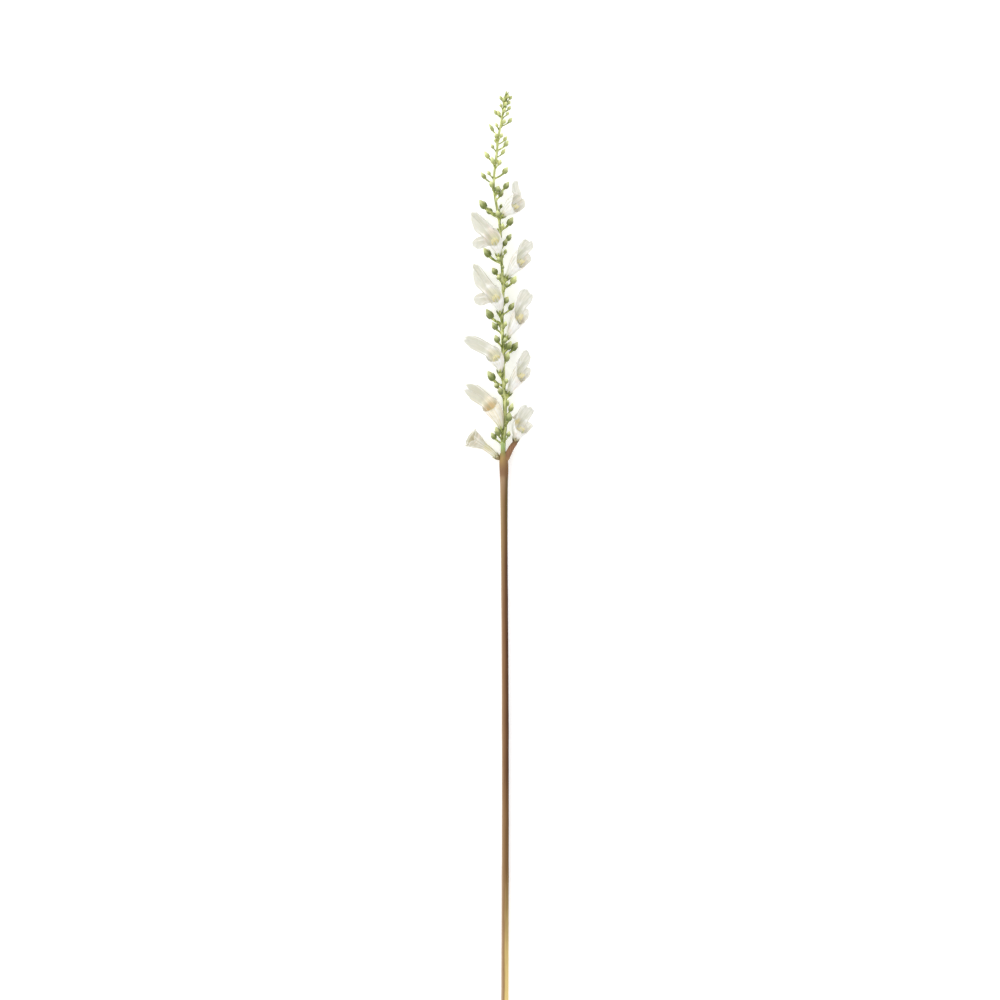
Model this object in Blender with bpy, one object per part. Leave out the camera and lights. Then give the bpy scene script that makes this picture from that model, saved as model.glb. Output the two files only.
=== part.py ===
"""A foxglove flower spike, cut and laid on its side on a flat surface.

The stem lies along Y with its cut end at -Y and the tip of the spike at +Y. +Z is up from the surface.
Ten open flowers stand in two ranks, at -X (left) and +X (right), and buds stand all round the green
axis.
Sizes are in millimetres; MM turns them into metres where a mesh is written.
"""

import math
import random
from typing import NamedTuple

import bmesh
import bpy
from mathutils import Vector

MM = 0.001
LEFT, RIGHT = -1, 1

# Clearances and thicknesses
GAP = 0.35                  # between a corolla and the green parts that hold it
PETAL_THICKNESS = 0.8
SEPAL_THICKNESS = 0.7
SHARP_EDGE = 50             # degrees; edges that turn more than this are shaded sharp

# Stem, from the cut end to the top of the collar: x, y, z of the axis and the radius there
STEM_SIDES = 12
STEM = (
    (6.3, -470.0, 3.53, 3.65),
    (6.6, -360.0, 4.6, 3.6),
    (6.9, -240.0, 5.7, 3.5),
    (6.6, -115.0, 6.9, 3.5),
    (5.9, 0.0, 8.0, 3.4),
    (5.6, 45.0, 8.4, 3.6),
    (5.5, 78.0, 8.7, 3.95),
    (5.5, 88.0, 8.8, 4.45),
    (5.4, 94.5, 8.9, 5.0),
    (5.2, 100.0, 8.9, 4.6),
    (4.9, 107.0, 9.0, 3.6),
)
SOCKET_DEPTH = 7.0          # the green axis stands this deep in the collar
CUTTER_EXCESS = 3.0         # how far the socket's cutter stands out of the collar

# Green axis, from its foot in the collar to the terminal bud: x, y, z and the radius there
AXIS_SIDES = 8
AXIS = (
    (4.8, 100.5, 8.95, 2.7),
    (4.6, 112.0, 9.0, 2.7),
    (5.0, 121.0, 9.1, 2.5),
    (6.7, 136.0, 9.3, 2.2),
    (6.4, 153.0, 9.4, 2.1),
    (5.1, 175.0, 9.5, 2.0),
    (4.6, 200.0, 9.5, 1.9),
    (4.0, 225.0, 9.5, 1.8),
    (3.5, 246.0, 9.5, 1.75),
    (4.6, 269.0, 9.5, 1.65),
    (3.7, 290.0, 9.5, 1.55),
    (2.5, 310.0, 9.5, 1.5),
    (1.6, 332.0, 9.4, 1.55),
    (-0.9, 350.0, 9.3, 1.45),
    (-3.8, 365.0, 9.2, 1.35),
    (-4.9, 375.0, 9.1, 1.3),
    (-3.5, 394.0, 9.0, 1.3),
    (-1.5, 409.0, 8.9, 1.25),
    (-0.7, 421.0, 8.8, 1.25),
    (1.9, 433.0, 8.7, 1.2),
    (3.9, 445.0, 8.7, 1.15),
    (6.0, 457.0, 8.7, 1.15),
    (7.0, 461.0, 8.7, 1.45),
    (7.6, 464.5, 8.7, 1.5),
    (8.6, 470.0, 8.7, 0.0),
)

# Buds of the front and the sides, from the foot of the spike to its tip: height of the bud's middle
# along Y, its distance to the side of the axis (left is minus), its length, its width and, for a bud
# that a flower pushes aside, its rise above the axis
BUDS = (
    (124.0, -10.3, 8.5, 5.3), (126.0, 4.6, 7.4, 4.2), (128.5, -7.0, 11.4, 5.6), (143.0, 3.6, 10.6, 7.0),
    (152.5, 6.3, 10.6, 5.0), (169.0, -3.6, 9.5, 5.3), (174.5, -7.2, 6.9, 4.7), (179.0, 2.9, 6.4, 4.2),
    (184.0, -12.4, 12.4, 7.6), (203.0, 3.8, 11.6, 6.4, 3.0), (213.6, 12.0, 11.4, 6.4),
    (214.5, 6.2, 10.8, 6.6, 3.5), (221.0, -5.8, 9.5, 5.9), (219.5, 2.2, 6.9, 4.2),
    (234.0, -7.6, 9.5, 5.7), (236.0, 3.2, 6.4, 4.2), (246.0, -12.6, 12.4, 7.3), (253.5, 9.3, 10.1, 5.3),
    (260.0, 3.8, 8.5, 5.3, 2.0), (275.0, 3.7, 6.4, 3.8), (280.0, 11.0, 9.5, 6.1), (282.5, -3.9, 6.4, 4.9),
    (289.0, -7.8, 8.5, 6.1), (293.0, 0.8, 4.8, 3.2, 4.5), (300.5, -2.7, 6.4, 4.2),
    (307.5, -14.2, 12.0, 7.0), (317.5, 4.4, 9.0, 4.9, 3.0), (322.5, 8.4, 9.0, 5.1, 2.0),
    (334.0, 2.6, 5.4, 4.1), (338.5, 11.0, 10.4, 6.3), (346.0, -0.3, 8.1, 5.3, 5.0),
    (349.5, -8.6, 8.6, 6.2), (355.5, -13.8, 11.6, 7.2), (366.5, 6.8, 8.6, 4.6), (371.0, 4.0, 7.0, 6.2),
    (374.5, 12.9, 9.2, 5.5), (375.5, -2.4, 7.6, 4.1), (384.5, -10.8, 8.6, 4.3), (387.0, -5.6, 5.4, 3.6),
    (389.5, 10.9, 8.6, 5.3), (397.5, 4.2, 6.5, 4.1), (399.5, -3.3, 8.6, 4.1), (405.0, -9.8, 9.2, 4.6),
    (408.5, 6.4, 7.6, 3.6), (413.5, -4.9, 5.4, 3.4), (416.5, 8.9, 7.6, 4.6), (421.5, 7.5, 6.5, 3.6),
    (424.0, -2.2, 6.5, 3.6), (424.5, 3.0, 5.4, 3.6), (432.5, -9.0, 9.7, 3.5), (435.0, -4.2, 5.4, 3.1),
    (438.5, 2.9, 5.4, 3.6), (440.0, 8.7, 6.5, 3.8), (446.5, 5.0, 4.6, 3.1), (447.0, -4.0, 5.8, 3.4),
    (448.0, -7.3, 6.3, 3.4), (450.0, 1.2, 5.2, 3.4), (452.0, 5.6, 5.2, 3.4), (454.5, -3.2, 4.6, 3.1),
    (456.0, 1.4, 5.2, 3.4), (457.5, 4.4, 4.6, 3.1), (460.5, -1.6, 5.2, 3.1), (462.0, -4.9, 5.8, 3.1),
    (462.5, 5.0, 5.2, 3.1), (463.5, 2.2, 5.2, 3.1),
)
BUD_REACH = (11.5, 4.8)     # from the axis to a bud's middle, at the foot and at the tip of the spike
SIDE_BUD = 0.75             # past this share of the reach a bud stands beside the axis, not before it
SIDE_RISES = (1.5, -1.0, 3.0)
# A bud's outline: share of its length from the middle, and its radius there as a share of its width
BUD_OUTLINE = ((-0.5, 0.27), (-0.22, 0.47), (0.12, 0.45), (0.5, 0.0))
BUD_CLIMB = 0.55            # how strongly a bud points up the spike rather than away from it
BUD_SAG = 0.12              # how far its stalk bows down, as a share of the stalk
BUD_STALK = 0.16            # radius of its stalk, as a share of the bud's width
THINNEST_STALK = 0.5
FIVE_SIDED = 7.1            # buds longer than this have five sides, the rest four
# Buds of the underside follow one another up the axis, ever closer
UNDER_BUDS = 13
UNDER_FIRST, UNDER_LAST = 158.0, 440.0
UNDER_CROWDING = 0.9
UNDER_LENGTHS = (7.5, 4.5)  # from the lowest to the highest
UNDER_WIDTH = 0.62          # as a share of the length
UNDER_SPREAD = 50           # degrees to either side of straight down
UNDER_REACH = (7.2, 5.0)
UNDER_JITTER = 2.0          # along the axis


class Lobe(NamedTuple):
    """One lobe of the mouth: its angle from the long lip, its width in degrees, and its columns."""
    middle: float
    width: float
    columns: int


# Round the mouth: the wide long lip, a side lobe, the two short lobes opposite the lip, a side lobe
LOBES = (Lobe(0, 108, 6), Lobe(86, 64, 5), Lobe(149, 62, 4), Lobe(211, 62, 4), Lobe(274, 64, 5))
CLEFT = 1.8                 # how far the clefts between lobes stand past the mouth
LOBE_FULLNESS = 0.5
NOTCH_WIDTH = 0.5           # half the width of the notch in a lip's end, as a share of half the lip
OUTWARD_LOBE = 1
EDGE_RIPPLES = 9            # scallops round the mouth
EDGE_RIPPLE = 0.008         # their depth, as a share of a lobe for each degree of its flutter
FLUTTERS = 5                # waves of the flare round the mouth
MOUTH_FLARE = 6             # degrees from the tube's line at which every lobe leaves the mouth
FLARE_SPEED = 0.7           # the lower, the sooner a lobe reaches its final angle
TUBE_ROWS = (0.0, 0.27, 0.62, 1.0)
LIP_ROWS = (0.22, 0.48, 0.74, 0.92, 1.0)
BASE_RADIUS = 1.9
SWELL = 1.25                # the higher, the longer the tube's foot stays narrow
BELLY_RISE = 1.3            # the higher, the closer the belly is to the mouth
UNROLL = 20.0               # past the mouth, where the long lip has spread from a pipe into a strap


class Flower(NamedTuple):
    """One corolla. Lengths are in millimetres and angles in degrees."""
    side: int
    base: tuple             # centre of the tube's foot
    mouth: tuple            # centre of the tube's mouth
    tip: tuple              # where the tube's line, bent with the long lip, ends
    bow: tuple              # how far the tube's middle bows from the straight line
    radius: float           # of the mouth
    belly: float            # extra radius half way up the tube
    turn: float             # of the long lip round the tube: 0 is outward, -90 is toward the surface
    lip_width: float        # share of the mouth's radius that the long lip spreads to either side
    lip_skew: float         # how much longer the lip is toward its outward edge
    lip_fullness: float     # the lower, the squarer the end of the lip
    notch: float            # depth of the notch in the lip's end, as a share of the lip
    slant: float            # the tube is this share shorter opposite the long lip
    lengths: tuple          # of the four other lobes past the mouth, from the outward one
    flares: tuple           # final angle of the lip and the other lobes from the tube's line
    fan: float              # how much further the outward lobe flares toward its upper edge
    wave: float             # flutter of the lobes' edges


FLOWERS = {
    "corolla_left_1": Flower(
        LEFT, (-1.8, 103.4, 9.6), (-25.8, 120.8, 16.0), (-30.3, 123.4, 17.0), (1.0, 0.5, -1.6),
        8.2, -2.8, -90, 0.95, 0.0, 0.4, 0.0, 0.05, (5.5, 5.0, 5.0, 5.5), (42, 46, 48, 48, 46), 0, 6),
    "corolla_left_2": Flower(
        LEFT, (2.8, 130.5, 13.4), (-9.5, 156.0, 18.5), (-38.5, 174.8, 14.0), (2.2, 0.5, -1.2),
        8.2, 0.6, -92, 0.72, 0.0, 0.14, 0.08, 0.2, (3.0, 2.0, 2.0, 4.0), (6, 20, 16, 16, 16), 0, 10),
    "corolla_left_3": Flower(
        LEFT, (1.6, 188.0, 15.0), (-7.5, 207.5, 21.0), (-39.0, 221.5, 15.5), (2.6, 0.5, -0.2),
        7.2, 1.2, -92, 0.72, 0.0, 0.15, 0.0, 0.45, (3.0, 2.0, 2.0, 5.0), (3, 24, 16, 20, 16), 0, 5),
    "corolla_left_4": Flower(
        LEFT, (1.4, 247.5, 15.0), (-7.8, 268.5, 24.0), (-30.0, 300.0, 18.5), (2.4, 0.0, -1.0),
        7.6, 0.8, -95, 0.66, -0.14, 0.2, 0.0, 0.5, (17.0, 3.0, 3.0, 6.0), (6, 96, 40, 20, 12), 42, 5),
    "corolla_left_5": Flower(
        LEFT, (0.0, 304.5, 15.0), (-8.8, 325.0, 24.0), (-33.0, 350.5, 18.5), (2.4, 0.0, -1.0),
        7.4, 1.0, -95, 0.64, -0.1, 0.14, 0.0, 0.5, (18.5, 3.0, 3.0, 6.0), (8, 90, 40, 20, 12), 40, 5),
    "corolla_right_1": Flower(
        RIGHT, (17.0, 119.8, 10.8), (24.6, 137.0, 16.5), (39.2, 154.0, 14.0), (-0.8, 0.0, -0.6),
        8.6, 1.2, -125, 1.1, 0.25, 0.2, 0.18, 0.5, (9.0, 2.0, 2.5, 3.0), (2, 34, 14, 14, 12), 0, 6),
    "corolla_right_2": Flower(
        RIGHT, (10.0, 166.2, 10.2), (26.5, 192.0, 16.5), (37.0, 205.5, 15.5), (-1.0, 0.5, -0.6),
        8.4, 0.4, -138, 1.6, 0.0, 0.35, 0.0, 0.5, (8.0, 3.0, 3.0, 3.5), (2, 34, 16, 14, 16), 0, 8),
    "corolla_right_3": Flower(
        RIGHT, (8.4, 222.4, 10.2), (24.5, 252.0, 16.5), (37.5, 268.0, 15.5), (0.0, -1.0, -0.6),
        6.8, 1.4, -130, 1.7, 0.1, 0.25, 0.15, 0.5, (6.5, 3.0, 3.0, 5.0), (3, 60, 24, 20, 30), 0, 6),
    "corolla_right_4": Flower(
        RIGHT, (8.4, 282.2, 10.6), (27.0, 305.5, 17.5), (39.0, 316.5, 17.0), (-0.8, 0.5, -0.6),
        8.8, 0.6, -140, 1.6, 0.4, 0.25, 0.16, 0.5, (7.0, 3.0, 2.5, 3.5), (2, 34, 16, 14, 12), 0, 6),
    "corolla_right_5": Flower(
        RIGHT, (3.6, 344.2, 10.4), (21.5, 359.5, 17.5), (26.0, 382.0, 17.0), (-0.8, 0.0, -0.6),
        8.8, 1.2, -145, 1.1, 0.0, 0.45, 0.0, 0.5, (6.0, 4.0, 3.0, 3.5), (2, 34, 24, 14, 12), 0, 6),
}
# The four stamens of a flower: degrees from the line opposite the lip, and share of the tube reached
STAMENS = ((-58, 0.66), (-22, 0.76), (22, 0.76), (58, 0.66))
STAMEN_ROOT = 0.27          # share of the tube's length at which a stamen leaves the wall
STAMEN_BEND = 0.38
ANTHER = 0.1                # half of an anther's length, as a share of the tube's
STAMEN_SPREADS = (1.0, 0.62, 0.52, 0.5, 0.46)   # share of the tube's radius, from root to tip
STAMEN_RADII = (0.42, 0.42, 0.36, 1.0, 0)

# Flowers that the brown stem carries; the green axis carries the rest
BRANCH = ((6.2, 98.5, 9.2), (8.6, 103.8, 9.5), (11.1, 109.0, 9.8), (14.0, 114.4, 10.2))
BRANCH_RADII = (3.2, 3.5, 3.2, 2.9, 2.7)
LEFT_STALK = ((4.0, 99.5, 9.0),)
STALK_RADII = (1.4, 1.1)     # of a flower's stalk, at its root and under its cup
ON_STEM = {"corolla_left_1": (LEFT_STALK, STALK_RADII), "corolla_right_1": (BRANCH, BRANCH_RADII)}

# Calyx and pistil
STALK_DROP = 8.0            # a flower's stalk leaves the axis this far below the flower's foot
CUP_DEPTHS = (3.6, 2.2)     # of the cup's underside and its widening, below the corolla's foot
CUP_CLEARANCE = 0.6         # between the cup's floor and the corolla's foot
CUP_TAPER = 0.8
SEPALS = 5
SEPAL_LENGTH, SEPAL_HALF_WIDTH = 3.4, 1.2
SEPAL_ROOT = 1.0            # a sepal starts this far below the corolla's foot, inside the cup
SEPAL_LEAN = 0.55           # extra distance of its tip from the corolla
OVARY = ((-1.5, 0.95), (2.5, 0.95))             # distance from the corolla's foot, and radius
STYLE = ((0.24, 0.5), (0.8, 0.45))              # share of the tube's length, and radius


def remove_everything():
    """Start from an empty scene."""
    for thing in list(bpy.data.objects):
        bpy.data.objects.remove(thing, do_unlink=True)


def material(name, colour, roughness):
    """A plain Principled material."""
    made = bpy.data.materials.new(name)
    made.use_nodes = True
    shader = made.node_tree.nodes["Principled BSDF"]
    shader.inputs["Base Color"].default_value = (*colour, 1)
    shader.inputs["Roughness"].default_value = roughness
    return made


def mix(start, stop, share):
    """The value a given share of the way from start to stop."""
    return start + (stop - start) * share


def place(name, mesh):
    """Put a bmesh's shape into the scene as an object."""
    bmesh.ops.recalc_face_normals(mesh, faces=mesh.faces)
    data = bpy.data.meshes.new(name)
    mesh.to_mesh(data)
    mesh.free()
    thing = bpy.data.objects.new(name, data)
    bpy.context.scene.collection.objects.link(thing)
    return thing


def finish(body, surface):
    """Give a finished piece its one material, and shade it smooth but for its sharp edges."""
    body.data.materials.clear()
    body.data.materials.append(surface)
    body.data.shade_smooth()
    body.data.set_sharp_from_angle(angle=math.radians(SHARP_EDGE))


def apply(body, modifier):
    """Apply one modifier of an object."""
    bpy.context.view_layer.objects.active = body
    bpy.ops.object.modifier_apply(modifier=modifier.name)


def ring_frames(points):
    """A pair of vectors square to a path at each of its points, with no twist along it."""
    reference = (points[-1] - points[0]).orthogonal().normalized()
    if abs((points[-1] - points[0]).normalized().x) < 0.9:
        reference = Vector((1, 0, 0))
    pairs = []
    for index in range(len(points)):
        ahead = points[min(index + 1, len(points) - 1)] - points[max(index - 1, 0)]
        ahead.normalize()
        first = (reference - ahead * reference.dot(ahead)).normalized()
        pairs.append((first, ahead.cross(first)))
    return pairs


def sweep(name, points, radii, sides):
    """A closed stem, stalk or bud: rings of the given radii along a path. A radius of 0 is a point."""
    points = [Vector(point) for point in points]
    mesh = bmesh.new()
    rings = []
    for point, radius, (first, second) in zip(points, radii, ring_frames(points)):
        if radius == 0:
            rings.append([mesh.verts.new(point * MM)])
            continue
        ring = []
        for step in range(sides):
            angle = 2 * math.pi * (step + 0.5) / sides
            offset = first * math.cos(angle) + second * math.sin(angle)
            ring.append(mesh.verts.new((point + offset * radius) * MM))
        rings.append(ring)
    for lower, upper in zip(rings, rings[1:]):
        for step in range(sides):
            after = (step + 1) % sides
            if len(upper) == 1:
                mesh.faces.new((lower[step], lower[after], upper[0]))
            else:
                mesh.faces.new((lower[step], lower[after], upper[after], upper[step]))
    for ring in (rings[0], rings[-1]):
        if len(ring) > 1:
            mesh.faces.new(ring)
    return place(name, mesh)


def union(body, pieces):
    """Grow the pieces into the body with one Boolean, then remove them."""
    group = bpy.data.collections.new(body.name + "_pieces")
    bpy.context.scene.collection.children.link(group)
    for piece in pieces:
        bpy.context.scene.collection.objects.unlink(piece)
        group.objects.link(piece)
    join = body.modifiers.new("grown_together", "BOOLEAN")
    join.operation = "UNION"
    join.operand_type = "COLLECTION"
    join.collection = group
    join.solver = "MANIFOLD"
    apply(body, join)
    for piece in list(group.objects):
        bpy.data.objects.remove(piece, do_unlink=True)
    bpy.data.collections.remove(group)


def cubic(before, start, stop, after, share):
    """A smooth value between start and stop that heads from the value before to the one after."""
    lead = (stop - before) / 2
    trail = (after - start) / 2
    rest = 1 - share
    hermite_start = (1 + 2 * share) * rest * rest
    hermite_stop = share * share * (3 - 2 * share)
    return (start * hermite_start + stop * hermite_stop
            + lead * share * rest * rest - trail * share * share * rest)


def axis_at(height):
    """Centre and radius of the green axis at a height along Y."""
    index = 0
    while index < len(AXIS) - 2 and AXIS[index + 1][1] < height:
        index += 1
    share = (height - AXIS[index][1]) / (AXIS[index + 1][1] - AXIS[index][1])
    share = min(max(share, 0), 1)
    knots = [AXIS[min(max(index + step, 0), len(AXIS) - 1)] for step in (-1, 0, 1, 2)]
    x = cubic(*[knot[0] for knot in knots], share)
    z = cubic(*[knot[2] for knot in knots], share)
    radius = mix(knots[1][3], knots[2][3], share)
    return Vector((x, height, z)), radius


# ---- the white corollas ----------------------------------------------------------------------

class Tube:
    """The bowed centre line of a corolla's tube, bent on past the mouth with the long lip."""

    def __init__(self, flower):
        self.flower = flower
        self.base = Vector(flower.base)
        self.mouth = Vector(flower.mouth)
        self.tip = Vector(flower.tip)
        self.control = (self.base + self.mouth) / 2 + Vector(flower.bow) * 2
        self.length = (self.mouth - self.base).length * 1.04
        self.lip = (self.tip - self.mouth).length * 1.03
        self.lip_control = self.mouth + (self.mouth - self.control).normalized() * self.lip * 0.35

    def arc(self, along):
        """The three control points that hold for a distance along the line, and the share of the way."""
        if along <= self.length:
            return self.base, self.control, self.mouth, along / self.length
        return self.mouth, self.lip_control, self.tip, min((along - self.length) / self.lip, 1)

    def centre(self, along):
        """Point of the centre line."""
        start, control, stop, share = self.arc(along)
        rest = 1 - share
        return start * rest * rest + control * 2 * rest * share + stop * share * share

    def ahead(self, along):
        """Direction of the centre line."""
        start, control, stop, share = self.arc(along)
        return ((control - start) * (1 - share) + (stop - control) * share).normalized()

    def across(self, along, angle):
        """Direction across the line at an angle from outward, which grows toward +Z."""
        ahead = self.ahead(along)
        upward = (Vector((0, 0, 1)) - ahead * ahead.z).normalized()
        outward = upward.cross(ahead) * -self.flower.side
        return outward * math.cos(angle) + upward * math.sin(angle)

    def radius(self, along):
        """Middle of the wall: a narrow foot that swells to the belly and the mouth."""
        share = min(along / self.length, 1)
        swell = mix(BASE_RADIUS, self.flower.radius, math.sin(share * math.pi / 2) ** SWELL)
        return swell + self.flower.belly * math.sin(math.pi * share ** BELLY_RISE) ** 2

    def wall(self, along, radius, angle):
        """Point of the petal wall at an angle from the long lip, which spreads out flat past the mouth."""
        turn = math.radians(self.flower.turn)
        spread = min(max((along - self.length) / UNROLL, 0), 1)
        if abs(angle) > math.radians(LOBES[0].width / 2 + 1):
            spread = 0
        depth = mix(math.cos(angle), 1, spread)
        aside = mix(math.sin(angle), angle * self.flower.lip_width, spread)
        offset = self.across(along, turn) * depth + self.across(along, turn + math.pi / 2) * aside
        return self.centre(along) + offset * radius


def petal_columns(flower, tube):
    """Angle, length past the mouth and flare of each column of the petal surface, lobe by lobe."""
    columns = []
    count = len(LOBES)
    lengths = (tube.lip, *flower.lengths)
    for index, lobe in enumerate(LOBES):
        fullness = flower.lip_fullness if index == 0 else LOBE_FULLNESS
        for step in range(lobe.columns):
            place_in_lobe = 2 * step / lobe.columns - 1
            bulge = 1 - place_in_lobe * place_in_lobe
            neighbour = (index - 1) % count if place_in_lobe < 0 else (index + 1) % count
            shared_flare = (flower.flares[index] + flower.flares[neighbour]) / 2
            angle = math.radians(lobe.middle + place_in_lobe * lobe.width / 2)
            length = mix(CLEFT, lengths[index], bulge ** fullness)
            if index == 0:
                notch = flower.notch * max(1 - abs(place_in_lobe) / NOTCH_WIDTH, 0)
                length *= 1 + flower.lip_skew * place_in_lobe - notch
            length *= 1 + EDGE_RIPPLE * flower.wave * math.sin(EDGE_RIPPLES * angle + flower.base[1])
            flare = mix(shared_flare, flower.flares[index], bulge)
            flare += flower.wave * math.sin(FLUTTERS * angle + flower.base[1])
            if index == OUTWARD_LOBE:
                flare += flower.fan * place_in_lobe
            columns.append((angle, length, math.radians(flare)))
    return columns


def petal_profile(tube, angle, length, flare):
    """Distance along the centre line and radius for every row of one column."""
    reach = tube.length * (1 - tube.flower.slant * (1 - math.cos(angle)) / 2)
    profile = [(share * reach, tube.radius(share * reach)) for share in TUBE_ROWS]
    along, radius = profile[-1]
    start = math.radians(MOUTH_FLARE)
    last = 0
    for share in LIP_ROWS:
        slope = mix(start, flare, ((share + last) / 2) ** FLARE_SPEED)
        along += math.cos(slope) * length * (share - last)
        radius += math.sin(slope) * length * (share - last)
        profile.append((along, radius))
        last = share
    return profile


def petal_surface(name, flower, tube):
    """The middle surface of a corolla, in triangles, pressed flat where it would pass the ground."""
    mesh = bmesh.new()
    grid = []
    for angle, length, flare in petal_columns(flower, tube):
        column = []
        angle = (angle + math.pi) % (2 * math.pi) - math.pi
        for along, radius in petal_profile(tube, angle, length, flare):
            point = tube.wall(along, radius, angle)
            point.z = max(point.z, PETAL_THICKNESS / 2)
            column.append(mesh.verts.new(point * MM))
        grid.append(column)
    for index, column in enumerate(grid):
        beside = grid[(index + 1) % len(grid)]
        for row in range(len(column) - 1):
            corners = (column[row], beside[row], beside[row + 1], column[row + 1])
            first = (index + row) % 2
            mesh.faces.new((corners[first], corners[first + 1], corners[(first + 2) % 4]))
            mesh.faces.new((corners[(first + 2) % 4], corners[(first + 3) % 4], corners[first]))
    return place(name, mesh)


def stamens(flower, tube):
    """Four stamens, rooted in the tube's wall opposite the long lip, the inner pair longer."""
    made = []
    for number, (lean, reach) in enumerate(STAMENS):
        angle = math.radians(flower.turn + 180 + lean)
        shares = (STAMEN_ROOT, STAMEN_BEND, reach - ANTHER, reach, reach + ANTHER)
        points = []
        for share, spread in zip(shares, STAMEN_SPREADS):
            along = share * tube.length
            points.append(tube.centre(along) + tube.across(along, angle) * tube.radius(along) * spread)
        made.append(sweep(f"stamen_{number}", points, STAMEN_RADII, 3))
    return made


def corolla(name, flower, surface):
    """One white corolla with its stamens."""
    tube = Tube(flower)
    body = petal_surface(name, flower, tube)
    thicken = body.modifiers.new("petal_thickness", "SOLIDIFY")
    thicken.thickness = PETAL_THICKNESS * MM
    thicken.offset = 0
    apply(body, thicken)
    union(body, stamens(flower, tube))
    finish(body, surface)


# ---- what holds the flowers ------------------------------------------------------------------

def sepal(name, tube, angle):
    """One pointed sepal that stands from the calyx's cup, a gap away from the corolla."""
    clear = PETAL_THICKNESS / 2 + GAP
    ahead = tube.ahead(0)
    outward = tube.across(0, angle)
    aside = ahead.cross(outward) * SEPAL_HALF_WIDTH
    foot = tube.base + outward * (BASE_RADIUS + clear) - ahead * SEPAL_ROOT
    tip_radius = tube.radius(SEPAL_LENGTH) + clear + SEPAL_LEAN
    tip = tube.centre(SEPAL_LENGTH) + tube.across(SEPAL_LENGTH, angle) * tip_radius
    inner = [foot - aside, foot + aside, tip]
    outer = [point + outward * SEPAL_THICKNESS for point in inner]
    mesh = bmesh.new()
    low = [mesh.verts.new(point * MM) for point in inner]
    high = [mesh.verts.new(point * MM) for point in outer]
    mesh.faces.new(low)
    mesh.faces.new(high)
    for step in range(3):
        after = (step + 1) % 3
        mesh.faces.new((low[step], low[after], high[after], high[step]))
    return place(name, mesh)


def flower_holder(name, flower, way, stalk_radii):
    """The stalk, calyx and pistil of one flower. The way leads from the stalk's root to near the calyx."""
    tube = Tube(flower)
    ahead = tube.ahead(0)
    cup_radius = BASE_RADIUS + PETAL_THICKNESS / 2 + GAP + SEPAL_THICKNESS
    cup = [tube.base - ahead * depth for depth in (*CUP_DEPTHS, CUP_CLEARANCE)]
    radii = (*stalk_radii, cup_radius * CUP_TAPER, cup_radius)
    holder = [sweep(name + "_stalk", (*way, *cup), radii, 6)]
    pistil = [(tube.base + ahead * distance, radius) for distance, radius in OVARY]
    pistil += [(tube.centre(share * tube.length), radius) for share, radius in STYLE]
    holder.append(sweep(name + "_pistil", *zip(*pistil), 4))
    for number in range(SEPALS):
        angle = 2 * math.pi * (number + 0.25) / SEPALS
        holder.append(sepal(f"{name}_sepal_{number}", tube, angle))
    return holder


def bud(name, root, middle, length, width):
    """One bud on its stalk: the stalk curves up the spike, and the bud points up and outward."""
    sides = 5 if length > FIVE_SIDED else 4
    heading = (middle - root).normalized()
    heading = (heading + Vector((0, BUD_CLIMB, 0))).normalized()
    outline = [middle + heading * length * share for share, _ in BUD_OUTLINE]
    bend = mix(root, outline[0], 0.5) - Vector((0, BUD_SAG, 0)) * (outline[0] - root).length
    stalk = max(THINNEST_STALK, width * BUD_STALK)
    radii = (stalk, stalk, *[width * share for _, share in BUD_OUTLINE])
    return sweep(name, (root, bend, *outline), radii, sides)


def front_buds():
    """The buds of the front and the sides, each rooted in the axis a little below its middle."""
    made = []
    for number, (height, side, length, width, *pushed) in enumerate(BUDS):
        share = (height - BUDS[0][0]) / (AXIS[-1][1] - BUDS[0][0])
        reach = mix(*BUD_REACH, share)
        rise = math.sqrt(max(reach * reach - side * side, 0))
        if abs(side) > reach * SIDE_BUD:
            rise = SIDE_RISES[number % 3]
        if pushed:
            rise = pushed[0]
        middle = axis_at(height)[0] + Vector((side, 0, rise))
        root = axis_at(height - 0.5 * math.hypot(side, rise) - 0.3 * length)[0]
        made.append(bud(f"bud_{number}", root, middle, length, width))
    return made


def under_buds():
    """The buds of the underside: they swing from side to side as they follow one another up the axis."""
    draw = random.Random(7)
    made = []
    for number in range(UNDER_BUDS):
        share = number / (UNDER_BUDS - 1)
        height = mix(UNDER_FIRST, UNDER_LAST, share ** UNDER_CROWDING)
        height += draw.uniform(-UNDER_JITTER, UNDER_JITTER)
        length = mix(*UNDER_LENGTHS, share)
        reach = mix(*UNDER_REACH, share)
        swing = math.radians(UNDER_SPREAD * (-1) ** number * draw.uniform(0.3, 1.0))
        middle = axis_at(height)[0] + Vector((math.sin(swing), 0, -math.cos(swing))) * reach
        root = axis_at(height - 0.8 * reach - 0.25 * length)[0]
        made.append(bud(f"under_bud_{number}", root, middle, length, length * UNDER_WIDTH))
    return made


def spike_axis(surface):
    """The green axis with its buds and with what holds the flowers that it carries."""
    body = sweep("spike_axis", [knot[:3] for knot in AXIS], [knot[3] for knot in AXIS], AXIS_SIDES)
    pieces = front_buds() + under_buds()
    for name, flower in FLOWERS.items():
        if name not in ON_STEM:
            root = axis_at(flower.base[1] - STALK_DROP)[0]
            pieces += flower_holder(name, flower, (root,), STALK_RADII)
    union(body, pieces)
    finish(body, surface)


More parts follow.
